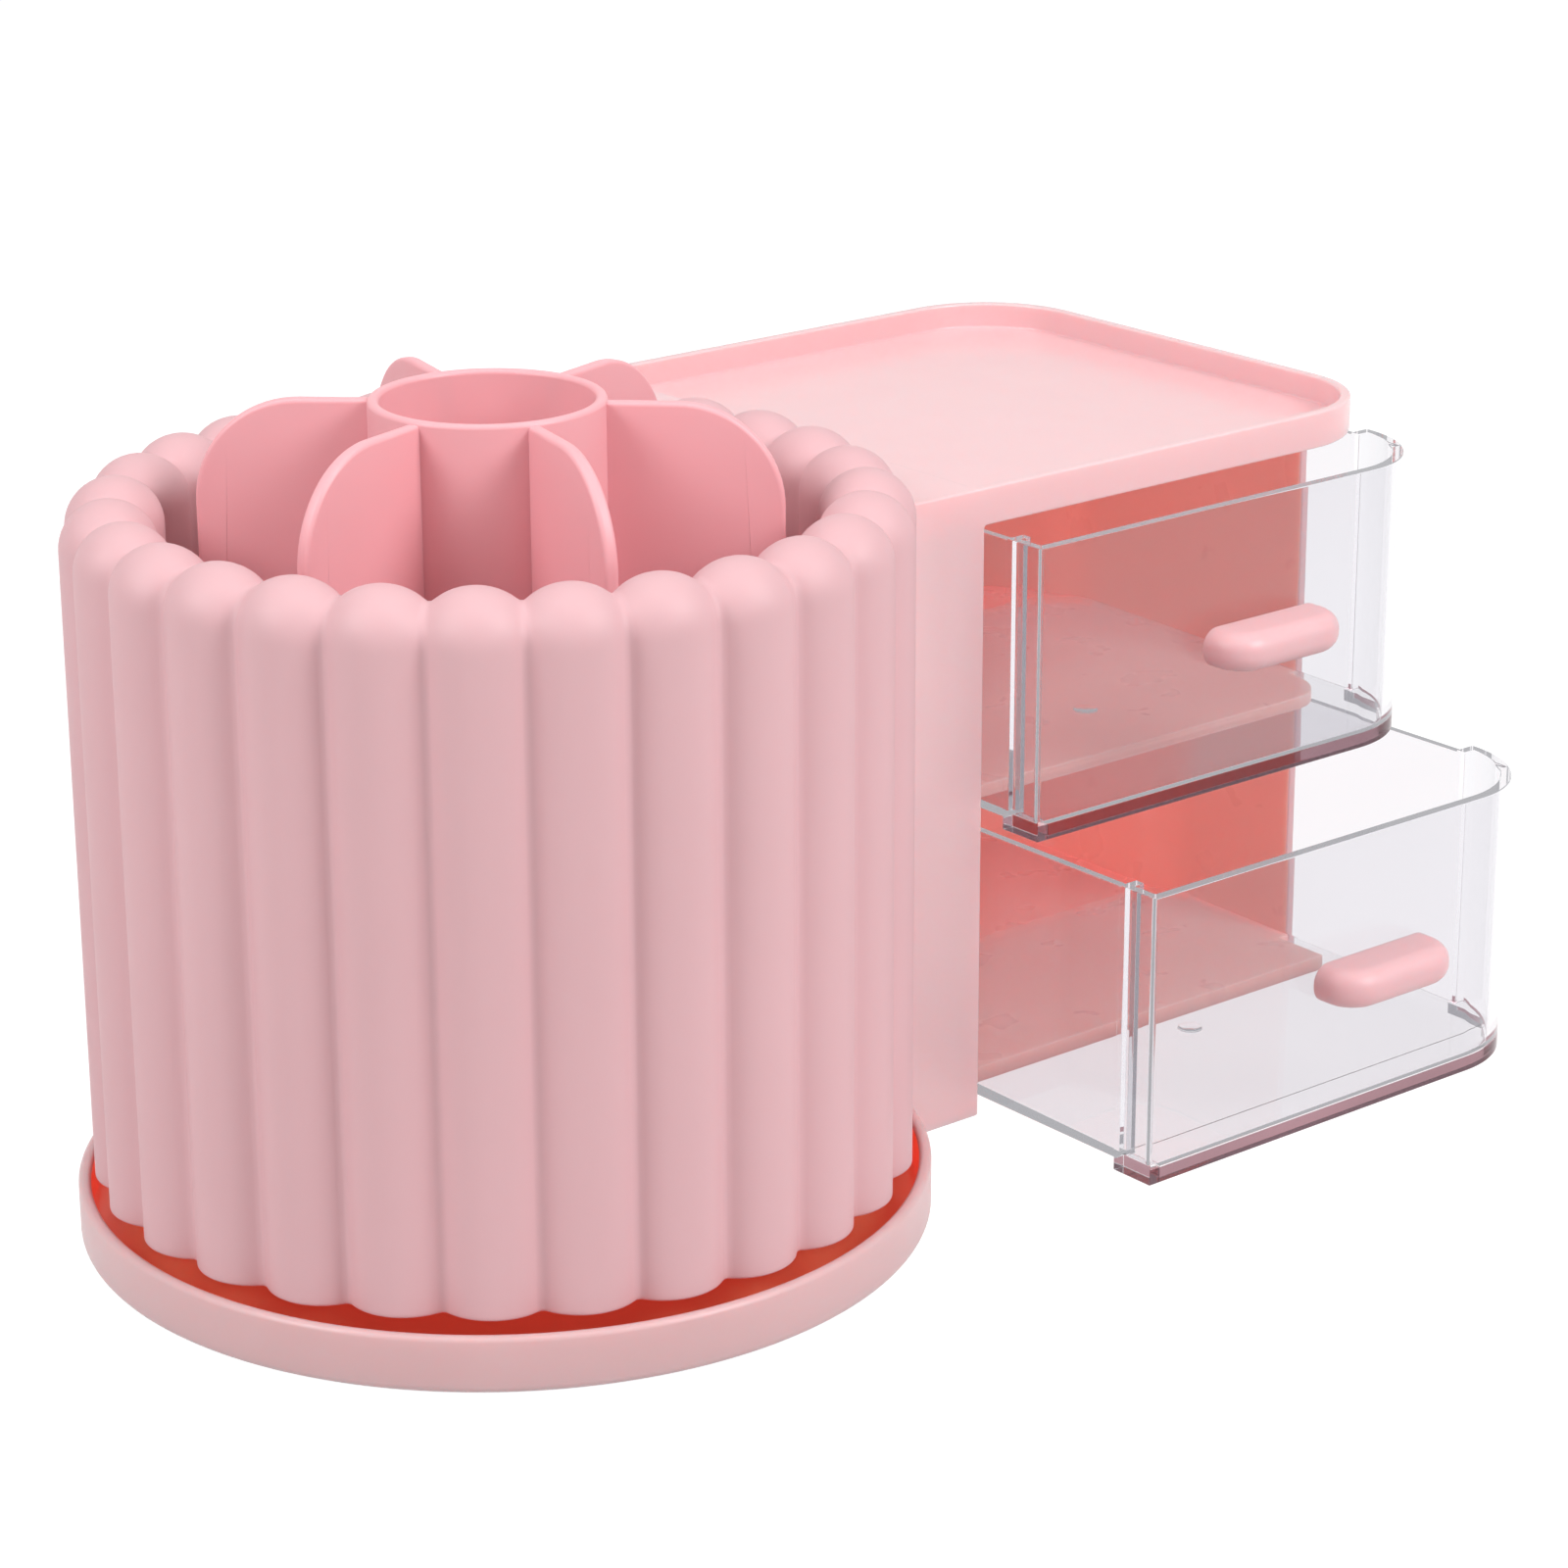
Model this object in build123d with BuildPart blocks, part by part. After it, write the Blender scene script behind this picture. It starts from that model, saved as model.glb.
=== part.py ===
"""Rotating desk organiser: a fluted cup that turns in a round dish, beside a cabinet with two drawers.

Millimetres. X runs from the cup towards the drawers, Y from the drawer fronts to the back, Z up.
The origin is on the cup's turning axis, on the surface that the organiser stands on.
"""
import math
import os

from build123d import *

os.makedirs("parts", exist_ok=True)

# ---- Driving dimensions -------------------------------------------------------------------------

# Fits and clearances
running_clearance = 0.06    # radial, bush round the pivot post
press_clearance = 0.03      # radial, parts pushed together for good
seat_gap = 0.2              # between pieces that slide or turn on one another
plate_gap = 0.15            # between a moulding and the one that it drops into

# Fluted cup
rib_count = 27
rib_turn = 5.7              # direction of the first rib, degrees from +X
rib_depth = 16.8            # of one rib, from the inside of the cup to the outside
rib_breadth = 19.0          # of one rib, across; neighbours run into each other
rib_circle = 63.7           # radius of the circle that the rib centres stand on
rib_sides = 16
dome_steps = 3
core_sides = 8              # the ribs' hollow cores are plainer ovals with flat tops
dome_flat = 0.3             # flat on top of a dome, as a share of one step of the dome
cup_height = 121.2
cup_skin = 2.0
cup_floor = 2.5
cup_lift = 1.5              # lower edge of the cup above the dish's rim

# Dish and floor plate
dish_margin = 3.0           # rim of the dish outside the cup
dish_wall = 2.2
dish_height = 10.1
base_thickness = 3.0
dish_edge_chamfer = 1.2
neck_width = 28.0           # strip that joins the dish to the floor plate

# Divider insert
tube_radius = 20.1
tube_wall = 2.0
insert_height = 132.8
fin_count = 6
fin_thickness = 2.5
fin_corner = 18.0
fin_drop = 0.6              # top of a fin below the tube's rim
fin_gap = 5.5               # edge of a fin to the cup's inner ribs
fin_turn = -102.6           # direction of the first fin, degrees from +X

# Pivot
post_radius = 8.0
bush_wall = 2.0
hub_wall = 2.4
hub_drop = 4.0              # hub's length below the cup's floor
washer_overlap = 3.0        # washer's rim outside the post
washer_thickness = 1.2
pivot_screw_radius = 1.75
pivot_head_radius = 4.0
pivot_head_height = 2.4
pivot_screw_length = 9.0
boss_wall = 2.0
boss_fit = 0.5              # radial, boss in the insert's tube
cap_thickness = 1.2
cap_spigot = 3.0
glide_radius = 30.0         # middle of the glide ring
glide_width = 6.0
glide_thickness = 2.4
runner_width = 3.0

# Cabinet
wall = 2.0
saddle_gap = 0.4            # dish rim to the cabinet's hollow side
pillar_width = 14.2
bay_width = 103.5
cabinet_height = 120.6
cabinet_depth = 115.1
cabinet_front = 24.6        # front face, in front of the turning axis
cabinet_corner = 21.8
back_corner = 6.0
rim_height = 5.0            # rim of the top tray above its floor
rim_step = 1.3              # left rim of the top tray beyond the bay wall
tray_floor = 2.0
shelf_thickness = 2.4
shelf_setback = 10.4        # front edges of the shelf and floor plate behind the cabinet's front
shelf_corner = 10.0         # round corner of the shelf at the front of the right wall
groove_depth = 0.8
screw_post_length = 8.0
screw_post_height = 11.0
case_screw_radius = 1.45
case_head_radius = 3.1
case_head_height = 1.6
case_screw_length = 9.0
case_screw_count = 3

# Drawers
drawer_wall = 1.8
drawer_front_wall = 2.2
drawer_floor = 2.4
drawer_length = 104.0
drawer_side_gap = 0.6
drawer_lift = 0.4           # drawer's bottom above what it slides on
drawer_headroom = 1.7       # drawer's top edge below the ceiling of its bay
front_drop = 2.2            # front section below the drawer's bottom
front_rise = 0.4            # front section above the drawer's side walls
front_floor = 3.0
front_depth = 9.4           # front section, on the left
front_side_step = 0.4       # front section outside the drawer's left wall
section_end = 0.3           # straight run of the front section behind its round corner
corner_gap = 0.5            # front section's right end to the cabinet wall behind it
tab_length = 4.1
tab_thickness = 2.0
lower_drawer_out = 45.2     # how far each drawer is pulled out
upper_drawer_out = 14.3

# Pulls
pull_length = 30.0
pull_depth = 9.5
pull_height = 7.4
pull_corner = 7.0
pull_edge = 1.8
pull_shift = 2.8            # middle of a pull right of the middle of the drawer's front
pull_drop = 0.0             # middle of a pull below the middle of the drawer's front
peg_radius = 1.6
peg_spacing = 16.0

# ---- Sizes that follow --------------------------------------------------------------------------

# Cup, dish and pivot heights
cup_outer = rib_circle + rib_depth / 2
cup_inner = rib_circle - rib_depth / 2
cup_base = dish_height + cup_lift
cup_top = cup_base + cup_height
cup_floor_top = cup_base + cup_floor
half_pitch = rib_circle * math.sin(math.pi / rib_count)
valley_middle = rib_circle * math.cos(math.pi / rib_count)
valley_depth = rib_depth / 2 * math.sqrt(1 - (2 * half_pitch / rib_breadth) ** 2)
dish_radius = cup_outer + dish_margin
saddle_radius = dish_radius + saddle_gap

hub_base = cup_base - hub_drop
bush_bore = post_radius + running_clearance
bush_outer = bush_bore + bush_wall
hub_bore = bush_outer + press_clearance
post_top = cup_floor_top + seat_gap
washer_top = post_top + washer_thickness
head_top = washer_top + pivot_head_height
tube_bore = tube_radius - tube_wall
boss_outer = tube_bore - boss_fit
boss_inner = boss_outer - boss_wall
boss_top = head_top + cap_spigot
glide_top = base_thickness + glide_thickness

insert_base = cup_floor_top + seat_gap
insert_top = insert_base + insert_height
fin_top = insert_top - fin_drop
fin_radius = cup_inner - fin_gap

# Cabinet planes
front_y = -cabinet_front
back_y = front_y + cabinet_depth
bay_left = saddle_radius + pillar_width
bay_right = bay_left + bay_width
cabinet_right = bay_right + wall
inner_back_y = back_y - wall
section_depth = cabinet_corner + section_end
right_wall_setback = section_depth + corner_gap
plate_front_y = front_y + shelf_setback
tray_floor_top = cabinet_height - rim_height
ceiling = tray_floor_top - tray_floor
bay_height = (ceiling - base_thickness - shelf_thickness) / 2
shelf_bottom = base_thickness + bay_height
shelf_top = shelf_bottom + shelf_thickness
hollow_left = saddle_radius + wall
hollow_right = bay_left - wall
screw_x = (hollow_left + hollow_right) / 2
screw_span = cabinet_depth - 2 * wall - screw_post_length
screw_step = screw_span / case_screw_count
screw_first_y = front_y + wall + screw_post_length / 2 + screw_step / 2

# Drawers
drawer_height = bay_height - drawer_lift - drawer_headroom
section_left = bay_left + drawer_side_gap
body_left = section_left + front_side_step
body_right = bay_right - drawer_side_gap
drawer_back_corner = (cabinet_corner - wall) / 2
shelf_right = body_right - drawer_wall - seat_gap
pull_centre_x = (section_left + cabinet_right) / 2 + pull_shift


def cabinet_outline(corner):
    """Lines round the cabinet seen from above, with the hollow side that the dish nests in."""
    saddle_start_x = math.sqrt(saddle_radius ** 2 - cabinet_front ** 2)
    saddle_middle = math.atan2(front_y, saddle_start_x) / 2
    ThreePointArc(
        (saddle_start_x, front_y),
        (saddle_radius * math.cos(saddle_middle), saddle_radius * math.sin(saddle_middle)),
        (saddle_radius, 0),
    )
    Polyline((saddle_radius, 0), (saddle_radius, back_y - back_corner))
    RadiusArc((saddle_radius, back_y - back_corner), (saddle_radius + back_corner, back_y), back_corner)
    Line((saddle_radius + back_corner, back_y), (cabinet_right - corner, back_y))
    RadiusArc((cabinet_right - corner, back_y), (cabinet_right, back_y - corner), corner)
    Line((cabinet_right, back_y - corner), (cabinet_right, front_y + corner))
    RadiusArc((cabinet_right, front_y + corner), (cabinet_right - corner, front_y), corner)
    Line((cabinet_right - corner, front_y), (saddle_start_x, front_y))


def outside_shelf(gap):
    """Area of the cabinet that the shelf or its groove leaves free: the left part and the front."""
    with Locations((bay_left - groove_depth + gap, front_y)):
        Rectangle(bay_width, cabinet_depth, align=(Align.MAX, Align.MIN), mode=Mode.SUBTRACT)
    with Locations((bay_left - wall, plate_front_y + gap)):
        Rectangle(bay_width * 2, cabinet_depth, align=(Align.MIN, Align.MAX), mode=Mode.SUBTRACT)


# ---- Base: dish, neck and floor plate in one moulding -------------------------------------------

with BuildPart() as base_tray:
    with BuildSketch():
        Circle(dish_radius)
    extrude(amount=dish_height)
    chamfer(base_tray.edges().sort_by(Axis.Z)[0], dish_edge_chamfer)
    with BuildSketch(Plane.XY.offset(base_thickness)):
        Circle(dish_radius - dish_wall)
    extrude(amount=dish_height, mode=Mode.SUBTRACT)
    # Pivot post, with the hole for its screw
    with BuildSketch(Plane.XY.offset(base_thickness)):
        Circle(post_radius)
    extrude(amount=post_top - base_thickness)
    with BuildSketch(Plane.XY.offset(post_top)):
        Circle(pivot_screw_radius + press_clearance)
    extrude(amount=-pivot_screw_length, mode=Mode.SUBTRACT)
    # Floor plate inside the cabinet, and the neck to it
    with BuildSketch():
        with BuildLine():
            cabinet_outline(cabinet_corner)
        make_face()
        offset(amount=-(wall + plate_gap), kind=Kind.INTERSECTION)
        with Locations((bay_left, front_y)):
            Rectangle(bay_width + wall, shelf_setback, align=(Align.MIN, Align.MIN), mode=Mode.SUBTRACT)
        with Locations((shelf_right, front_y)):
            Rectangle(bay_width, right_wall_setback, align=(Align.MIN, Align.MIN), mode=Mode.SUBTRACT)
        with Locations((dish_radius - dish_wall, 0)):
            Rectangle(dish_wall + pillar_width, neck_width, align=(Align.MIN, Align.CENTER))
    extrude(amount=base_thickness)
    # Holes and head seats for the screws that hold the cabinet
    with Locations((0, 0, base_thickness)):
        with Locations(*[(screw_x, screw_first_y + i * screw_step) for i in range(case_screw_count)]):
            Hole(case_screw_radius + seat_gap, base_thickness)
    with BuildSketch():
        with Locations(*[(screw_x, screw_first_y + i * screw_step) for i in range(case_screw_count)]):
            Circle(case_head_radius + seat_gap)
    extrude(amount=case_head_height + seat_gap, mode=Mode.SUBTRACT)
base_tray.part.label = "base_tray"

# ---- Cabinet shell ------------------------------------------------------------------------------

with BuildPart() as cabinet_shell:
    with BuildSketch():
        with BuildLine():
            cabinet_outline(cabinet_corner)
        make_face()
    extrude(amount=cabinet_height)
    # Hollow between the saddle and the bay wall
    with BuildSketch() as hollow:
        with BuildLine():
            cabinet_outline(cabinet_corner)
        make_face()
        offset(amount=-wall, kind=Kind.INTERSECTION)
        with Locations((hollow_right, front_y)):
            Rectangle(bay_width * 2, cabinet_depth, align=(Align.MIN, Align.MIN), mode=Mode.SUBTRACT)
    extrude(amount=ceiling, mode=Mode.SUBTRACT)
    # Drawer bays, open to the front and round the right front corner
    with BuildSketch():
        with BuildLine():
            cabinet_outline(cabinet_corner)
        make_face()
        offset(amount=-wall, kind=Kind.INTERSECTION)
        with Locations((bay_left, front_y)):
            Rectangle(bay_width + wall, right_wall_setback, align=(Align.MIN, Align.MIN))
        with Locations((bay_left, front_y)):
            Rectangle(bay_width * 2, cabinet_depth, align=(Align.MAX, Align.MIN), mode=Mode.SUBTRACT)
    extrude(amount=ceiling, mode=Mode.SUBTRACT)
    # The inner wall stands on the floor plate
    with BuildSketch():
        with Locations(((hollow_right + bay_left) / 2, (front_y + wall + inner_back_y) / 2)):
            Rectangle(wall, cabinet_depth - 2 * wall)
    extrude(amount=base_thickness, mode=Mode.SUBTRACT)
    # Passage for the neck of the base
    with BuildSketch():
        with Locations((saddle_radius, 0)):
            Rectangle(wall * 2 + seat_gap, neck_width + 2 * plate_gap)
    extrude(amount=base_thickness + plate_gap, mode=Mode.SUBTRACT)
    # Top tray
    with BuildSketch(Plane.XY.offset(tray_floor_top)):
        with BuildLine():
            cabinet_outline(cabinet_corner)
        make_face()
        offset(amount=-wall, kind=Kind.INTERSECTION)
        with Locations((bay_left - rim_step, front_y)):
            Rectangle(bay_width * 2, cabinet_depth, align=(Align.MAX, Align.MIN), mode=Mode.SUBTRACT)
    extrude(amount=rim_height, mode=Mode.SUBTRACT)
    # Grooves for the shelf
    with BuildSketch(Plane.XY.offset(shelf_bottom - plate_gap / 2)):
        with BuildLine():
            cabinet_outline(cabinet_corner)
        make_face()
        offset(amount=groove_depth - wall, kind=Kind.INTERSECTION)
        outside_shelf(0)
    extrude(amount=shelf_thickness + plate_gap, mode=Mode.SUBTRACT)
    # Posts for the case screws
    with BuildSketch(Plane.XY.offset(base_thickness)):
        with Locations(*[(screw_x, screw_first_y + i * screw_step) for i in range(case_screw_count)]):
            Rectangle(hollow_right - hollow_left, screw_post_length)
            Circle(case_screw_radius + press_clearance, mode=Mode.SUBTRACT)
    extrude(amount=screw_post_height)
cabinet_shell.part.label = "cabinet_shell"

# ---- Shelf between the two bays -----------------------------------------------------------------

with BuildPart() as drawer_shelf:
    with BuildSketch(Plane.XY.offset(shelf_bottom)):
        with BuildLine():
            cabinet_outline(cabinet_corner)
        make_face()
        offset(amount=groove_depth - wall - plate_gap, kind=Kind.INTERSECTION)
        outside_shelf(plate_gap)
        with Locations((shelf_right, front_y)):
            Rectangle(bay_width, right_wall_setback, align=(Align.MIN, Align.MIN), mode=Mode.SUBTRACT)
        with Locations((shelf_right, plate_front_y + plate_gap)):
            Rectangle(shelf_corner, shelf_corner, align=(Align.MAX, Align.MIN), mode=Mode.SUBTRACT)
        with Locations((shelf_right - shelf_corner, plate_front_y + plate_gap + shelf_corner)):
            Circle(shelf_corner)
    extrude(amount=shelf_thickness)
drawer_shelf.part.label = "drawer_shelf"

# ---- Screws up through the floor plate into the cabinet -----------------------------------------

with BuildPart() as case_screws:
    with Locations(*[(screw_x, screw_first_y + i * screw_step, case_head_height) for i in range(case_screw_count)]):
        Cylinder(case_head_radius, case_head_height, align=(Align.CENTER, Align.CENTER, Align.MAX))
        Cylinder(case_screw_radius, case_screw_length, align=(Align.CENTER, Align.CENTER, Align.MIN))
case_screws.part.label = "case_screws"

# ---- Pivot: glide ring, washer and screw --------------------------------------------------------

with BuildPart() as glide_ring:
    with BuildSketch(Plane.XY.offset(base_thickness)):
        Circle(glide_radius + glide_width / 2)
        Circle(glide_radius - glide_width / 2, mode=Mode.SUBTRACT)
    extrude(amount=glide_thickness)
glide_ring.part.label = "glide_ring"

with BuildPart() as pivot_washer:
    with BuildSketch(Plane.XY.offset(post_top)):
        Circle(post_radius + washer_overlap)
        Circle(pivot_screw_radius + press_clearance, mode=Mode.SUBTRACT)
    extrude(amount=washer_thickness)
pivot_washer.part.label = "pivot_washer"

with BuildPart() as pivot_screw:
    with BuildSketch(Plane.XY.offset(washer_top)):
        Circle(pivot_head_radius)
    extrude(amount=pivot_head_height)
    with BuildSketch(Plane.XY.offset(washer_top)):
        Circle(pivot_screw_radius)
    extrude(amount=-(pivot_screw_length - washer_thickness))
    # Cross recess
    with BuildSketch(Plane.XY.offset(head_top)):
        Rectangle(pivot_head_radius, pivot_head_radius / 4)
        Rectangle(pivot_head_radius / 4, pivot_head_radius)
    extrude(amount=-pivot_head_height / 2, mode=Mode.SUBTRACT)
pivot_screw.part.label = "pivot_screw"

# ---- Fluted cup ---------------------------------------------------------------------------------


def oval(depth, breadth, sides, shrink, height):
    """Corners of a level, many-sided oval, drawn in by the factor shrink."""
    turns = [2 * math.pi * (side + 0.5) / sides for side in range(sides)]
    return [(shrink * depth / 2 * math.cos(turn), shrink * breadth / 2 * math.sin(turn), height) for turn in turns]


def finger(depth, breadth, base, top, sides, steps):
    """Upright oval bar of flat faces; its top closes as a dome, in that many steps and a small flat."""
    dome = depth / 2
    turns = [math.radians(90 * step / (steps + dome_flat)) for step in range(steps + 1)]
    rings = [oval(depth, breadth, sides, 1, base)]
    rings += [oval(depth, breadth, sides, math.cos(turn), top - dome + dome * math.sin(turn)) for turn in turns]
    faces = [Face(Wire.make_polygon(rings[0])), Face(Wire.make_polygon(rings[-1]))]
    for lower, upper in zip(rings, rings[1:]):
        for side in range(sides):
            faces.append(Face(Wire.make_polygon([lower[side - 1], lower[side], upper[side], upper[side - 1]])))
    return Solid(Shell(faces))


rib = finger(rib_depth, rib_breadth, cup_base, cup_top, rib_sides, dome_steps)
rib_core = finger(
    rib_depth - 2 * cup_skin, rib_breadth - 2 * cup_skin, cup_base, cup_top - cup_skin, core_sides, 0
)

with BuildPart() as fluted_cup:
    # Floor, between the inner faces of the ribs
    with BuildSketch(Plane.XY.offset(cup_base)):
        Circle(valley_middle)
    extrude(amount=cup_floor)
    # Ring of ribs, each as a finger with a round top
    with PolarLocations(rib_circle, rib_count, start_angle=rib_turn):
        add(rib)
    # The ribs are hollow from below, and joined to each other by a slot
    with PolarLocations(rib_circle, rib_count, start_angle=rib_turn):
        add(rib_core, mode=Mode.SUBTRACT)
    with BuildSketch(Plane.XY.offset(cup_base)):
        Circle(valley_middle + valley_depth - cup_skin)
        Circle(valley_middle - valley_depth + cup_skin, mode=Mode.SUBTRACT)
    extrude(amount=cup_height - rib_depth / 2, mode=Mode.SUBTRACT)
    # Hub under the floor, runner on the glide ring, and the boss that the insert stands over
    with BuildSketch(Plane.XY.offset(hub_base)):
        Circle(hub_bore + hub_wall)
    extrude(amount=hub_drop)
    with BuildSketch(Plane.XY.offset(glide_top + seat_gap)):
        Circle(glide_radius + runner_width / 2)
        Circle(glide_radius - runner_width / 2, mode=Mode.SUBTRACT)
    extrude(amount=cup_base - glide_top - seat_gap)
    with BuildSketch(Plane.XY.offset(cup_floor_top)):
        Circle(boss_outer)
        Circle(boss_inner, mode=Mode.SUBTRACT)
    extrude(amount=boss_top - cup_floor_top)
    with BuildSketch(Plane.XY.offset(hub_base)):
        Circle(hub_bore)
    extrude(amount=cup_floor_top - hub_base, mode=Mode.SUBTRACT)
fluted_cup.part.label = "fluted_cup"

with BuildPart() as pivot_bush:
    with BuildSketch(Plane.XY.offset(hub_base)):
        Circle(bush_outer)
        Circle(bush_bore, mode=Mode.SUBTRACT)
    extrude(amount=cup_floor_top - hub_base)
pivot_bush.part.label = "pivot_bush"

with BuildPart() as pivot_cap:
    with BuildSketch(Plane.XY.offset(boss_top)):
        Circle(boss_outer)
    extrude(amount=cap_thickness)
    with BuildSketch(Plane.XY.offset(boss_top)):
        Circle(boss_inner - press_clearance)
    extrude(amount=seat_gap - cap_spigot)
pivot_cap.part.label = "pivot_cap"

# ---- Divider insert: a tube with round-shouldered fins ------------------------------------------


def fin_plane(index):
    """Upright plane through the tube's axis, on one face of a fin; its X axis runs outwards."""
    turn = fin_turn + index * 360 / fin_count
    side = Vector(0, 1, 0).rotate(Axis.Z, turn)
    return Plane(origin=side * (fin_thickness / 2), x_dir=Vector(1, 0, 0).rotate(Axis.Z, turn), z_dir=-side)


with BuildPart() as divider_insert:
    with BuildSketch(Plane.XY.offset(insert_base)):
        Circle(tube_radius)
    extrude(amount=insert_height)
    for fin_index in range(fin_count):
        with BuildSketch(fin_plane(fin_index)):
            with BuildLine():
                Polyline(
                    (fin_radius, fin_top - fin_corner),
                    (fin_radius, insert_base),
                    (tube_bore, insert_base),
                    (tube_bore, fin_top),
                    (fin_radius - fin_corner, fin_top),
                )
                RadiusArc((fin_radius - fin_corner, fin_top), (fin_radius, fin_top - fin_corner), fin_corner)
            make_face()
        extrude(amount=fin_thickness)
    with BuildSketch(Plane.XY.offset(insert_base)):
        Circle(tube_bore)
    extrude(amount=insert_height, mode=Mode.SUBTRACT)
divider_insert.part.label = "divider_insert"

# ---- Drawers ------------------------------------------------------------------------------------


def body_outline(near_y, inset):
    """Lines round the box of a drawer from above, with the far right corner round to clear the cabinet's."""
    left = body_left + inset
    right = body_right - inset
    radius = drawer_back_corner - inset
    start_y = near_y + front_depth - (drawer_wall - inset)
    far_y = near_y + drawer_length - inset
    Polyline((right - radius, far_y), (left, far_y), (left, start_y), (right, start_y), (right, far_y - radius))
    RadiusArc((right, far_y - radius), (right - radius, far_y), -radius)


def front_outline(near_y, inset, depth):
    """Lines round a drawer's front from above: square at the left, a large round corner at the right."""
    left = section_left + inset
    right = cabinet_right - inset
    radius = cabinet_corner - inset
    far_y = near_y + depth
    Polyline((left, far_y), (left, near_y), (right - radius, near_y))
    RadiusArc((right - radius, near_y), (right, near_y + radius), -radius)
    Polyline((right, near_y + radius), (right, far_y), (left, far_y))


def behind_front_section(near_y, depth):
    """Area to take away, so that the front section is deep only beside the right wall."""
    with Locations((section_left, near_y + depth)):
        Rectangle(
            body_right - drawer_wall - section_left,
            section_depth,
            align=(Align.MIN, Align.MIN),
            mode=Mode.SUBTRACT,
        )


def drawer_tray(bottom, near_y):
    """Clear tray: a plain box behind a front section that is deeper, wider and rounded at the right."""
    far_y = near_y + drawer_length
    top = bottom + drawer_height
    section_bottom = bottom - front_drop
    with BuildPart() as tray:
        with BuildSketch(Plane.XY.offset(section_bottom)):
            with BuildLine():
                front_outline(near_y, 0, section_depth)
            make_face()
            behind_front_section(near_y, front_depth)
        extrude(amount=top + front_rise - section_bottom)
        with BuildSketch(Plane.XY.offset(bottom)):
            with BuildLine():
                body_outline(near_y, 0)
            make_face()
            with BuildLine():
                front_outline(near_y, 0, drawer_length)
            make_face(mode=Mode.INTERSECT)
        extrude(amount=drawer_height)
        # Inside of the front section
        with BuildSketch(Plane.XY.offset(section_bottom + front_floor)):
            with BuildLine():
                front_outline(near_y + drawer_front_wall, drawer_wall, section_depth)
            make_face()
            with Locations((section_left, near_y + section_depth - tab_thickness)):
                Rectangle(bay_width * 2, section_depth, align=(Align.MIN, Align.MIN), mode=Mode.SUBTRACT)
            behind_front_section(near_y, front_depth)
        extrude(amount=drawer_height + front_drop, mode=Mode.SUBTRACT)
        # Inside of the box
        with BuildSketch(Plane.XY.offset(bottom + drawer_floor)):
            with BuildLine():
                body_outline(near_y, drawer_wall)
            make_face()
            with BuildLine():
                front_outline(near_y + drawer_front_wall, drawer_wall, drawer_length)
            make_face(mode=Mode.INTERSECT)
        extrude(amount=drawer_height, mode=Mode.SUBTRACT)
        # Upright tab inside the left wall
        with BuildSketch(Plane.XY.offset(section_bottom)):
            with Locations((section_left, near_y + front_depth)):
                Rectangle(tab_length, tab_thickness, align=(Align.MIN, Align.MAX))
        extrude(amount=top + front_rise - section_bottom)
        # Holes for the pegs of the pull
        with BuildSketch(Plane.XZ.offset(-near_y)):
            with Locations((pull_centre_x, (bottom + top) / 2 - pull_drop)):
                with GridLocations(peg_spacing, 1, 2, 1):
                    Circle(peg_radius + press_clearance)
        extrude(amount=-drawer_front_wall, mode=Mode.SUBTRACT)
    return tray.part


def drawer_pull(bottom, near_y):
    """Bar with rounded ends and two pegs that are pushed through the drawer's front."""
    middle_z = bottom + drawer_height / 2 - pull_drop
    with BuildPart() as pull:
        with BuildSketch(Plane.XY.offset(middle_z - pull_height / 2)) as plan:
            with Locations((pull_centre_x, near_y)):
                Rectangle(pull_length, pull_depth, align=(Align.CENTER, Align.MAX))
            fillet(plan.vertices().group_by(Axis.Y)[0], pull_corner)
        extrude(amount=pull_height)
        rim = pull.edges().filter_by(Axis.Z, reverse=True).filter_by_position(
            Axis.Y, near_y - pull_depth - 1, near_y - seat_gap
        )
        chamfer(rim, pull_edge)
        with BuildSketch(Plane.XZ.offset(-near_y)):
            with Locations((pull_centre_x, middle_z)):
                with GridLocations(peg_spacing, 1, 2, 1):
                    Circle(peg_radius)
        extrude(amount=-drawer_front_wall)
    return pull.part


pieces = [
    base_tray.part,
    cabinet_shell.part,
    drawer_shelf.part,
    case_screws.part,
    glide_ring.part,
    pivot_washer.part,
    pivot_screw.part,
    fluted_cup.part,
    pivot_bush.part,
    pivot_cap.part,
    divider_insert.part,
]

drawers = {
    "lower": (base_thickness + drawer_lift, front_y - lower_drawer_out),
    "upper": (shelf_top + drawer_lift, front_y - upper_drawer_out),
}
for place, (bottom, near_y) in drawers.items():
    tray = drawer_tray(bottom, near_y)
    tray.label = f"{place}_drawer_tray"
    pull = drawer_pull(bottom, near_y)
    pull.label = f"{place}_drawer_pull"
    pieces += [tray, pull]

for piece in pieces:
    export_step(piece, f"parts/{piece.label}.step")
    print(piece.label, len(piece.solids()), round(piece.volume))
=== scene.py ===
"""Looks of the rotating desk organiser: smooth pieces, finishes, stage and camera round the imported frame.

Metres, +Z up, the origin on the cup's turning axis at the height of the desk. +X runs from the cup
to the drawers, and the drawers pull out towards -Y.
"""
import math

import bmesh
import bpy
import numpy as np
from mathutils import Matrix, Vector


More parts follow.
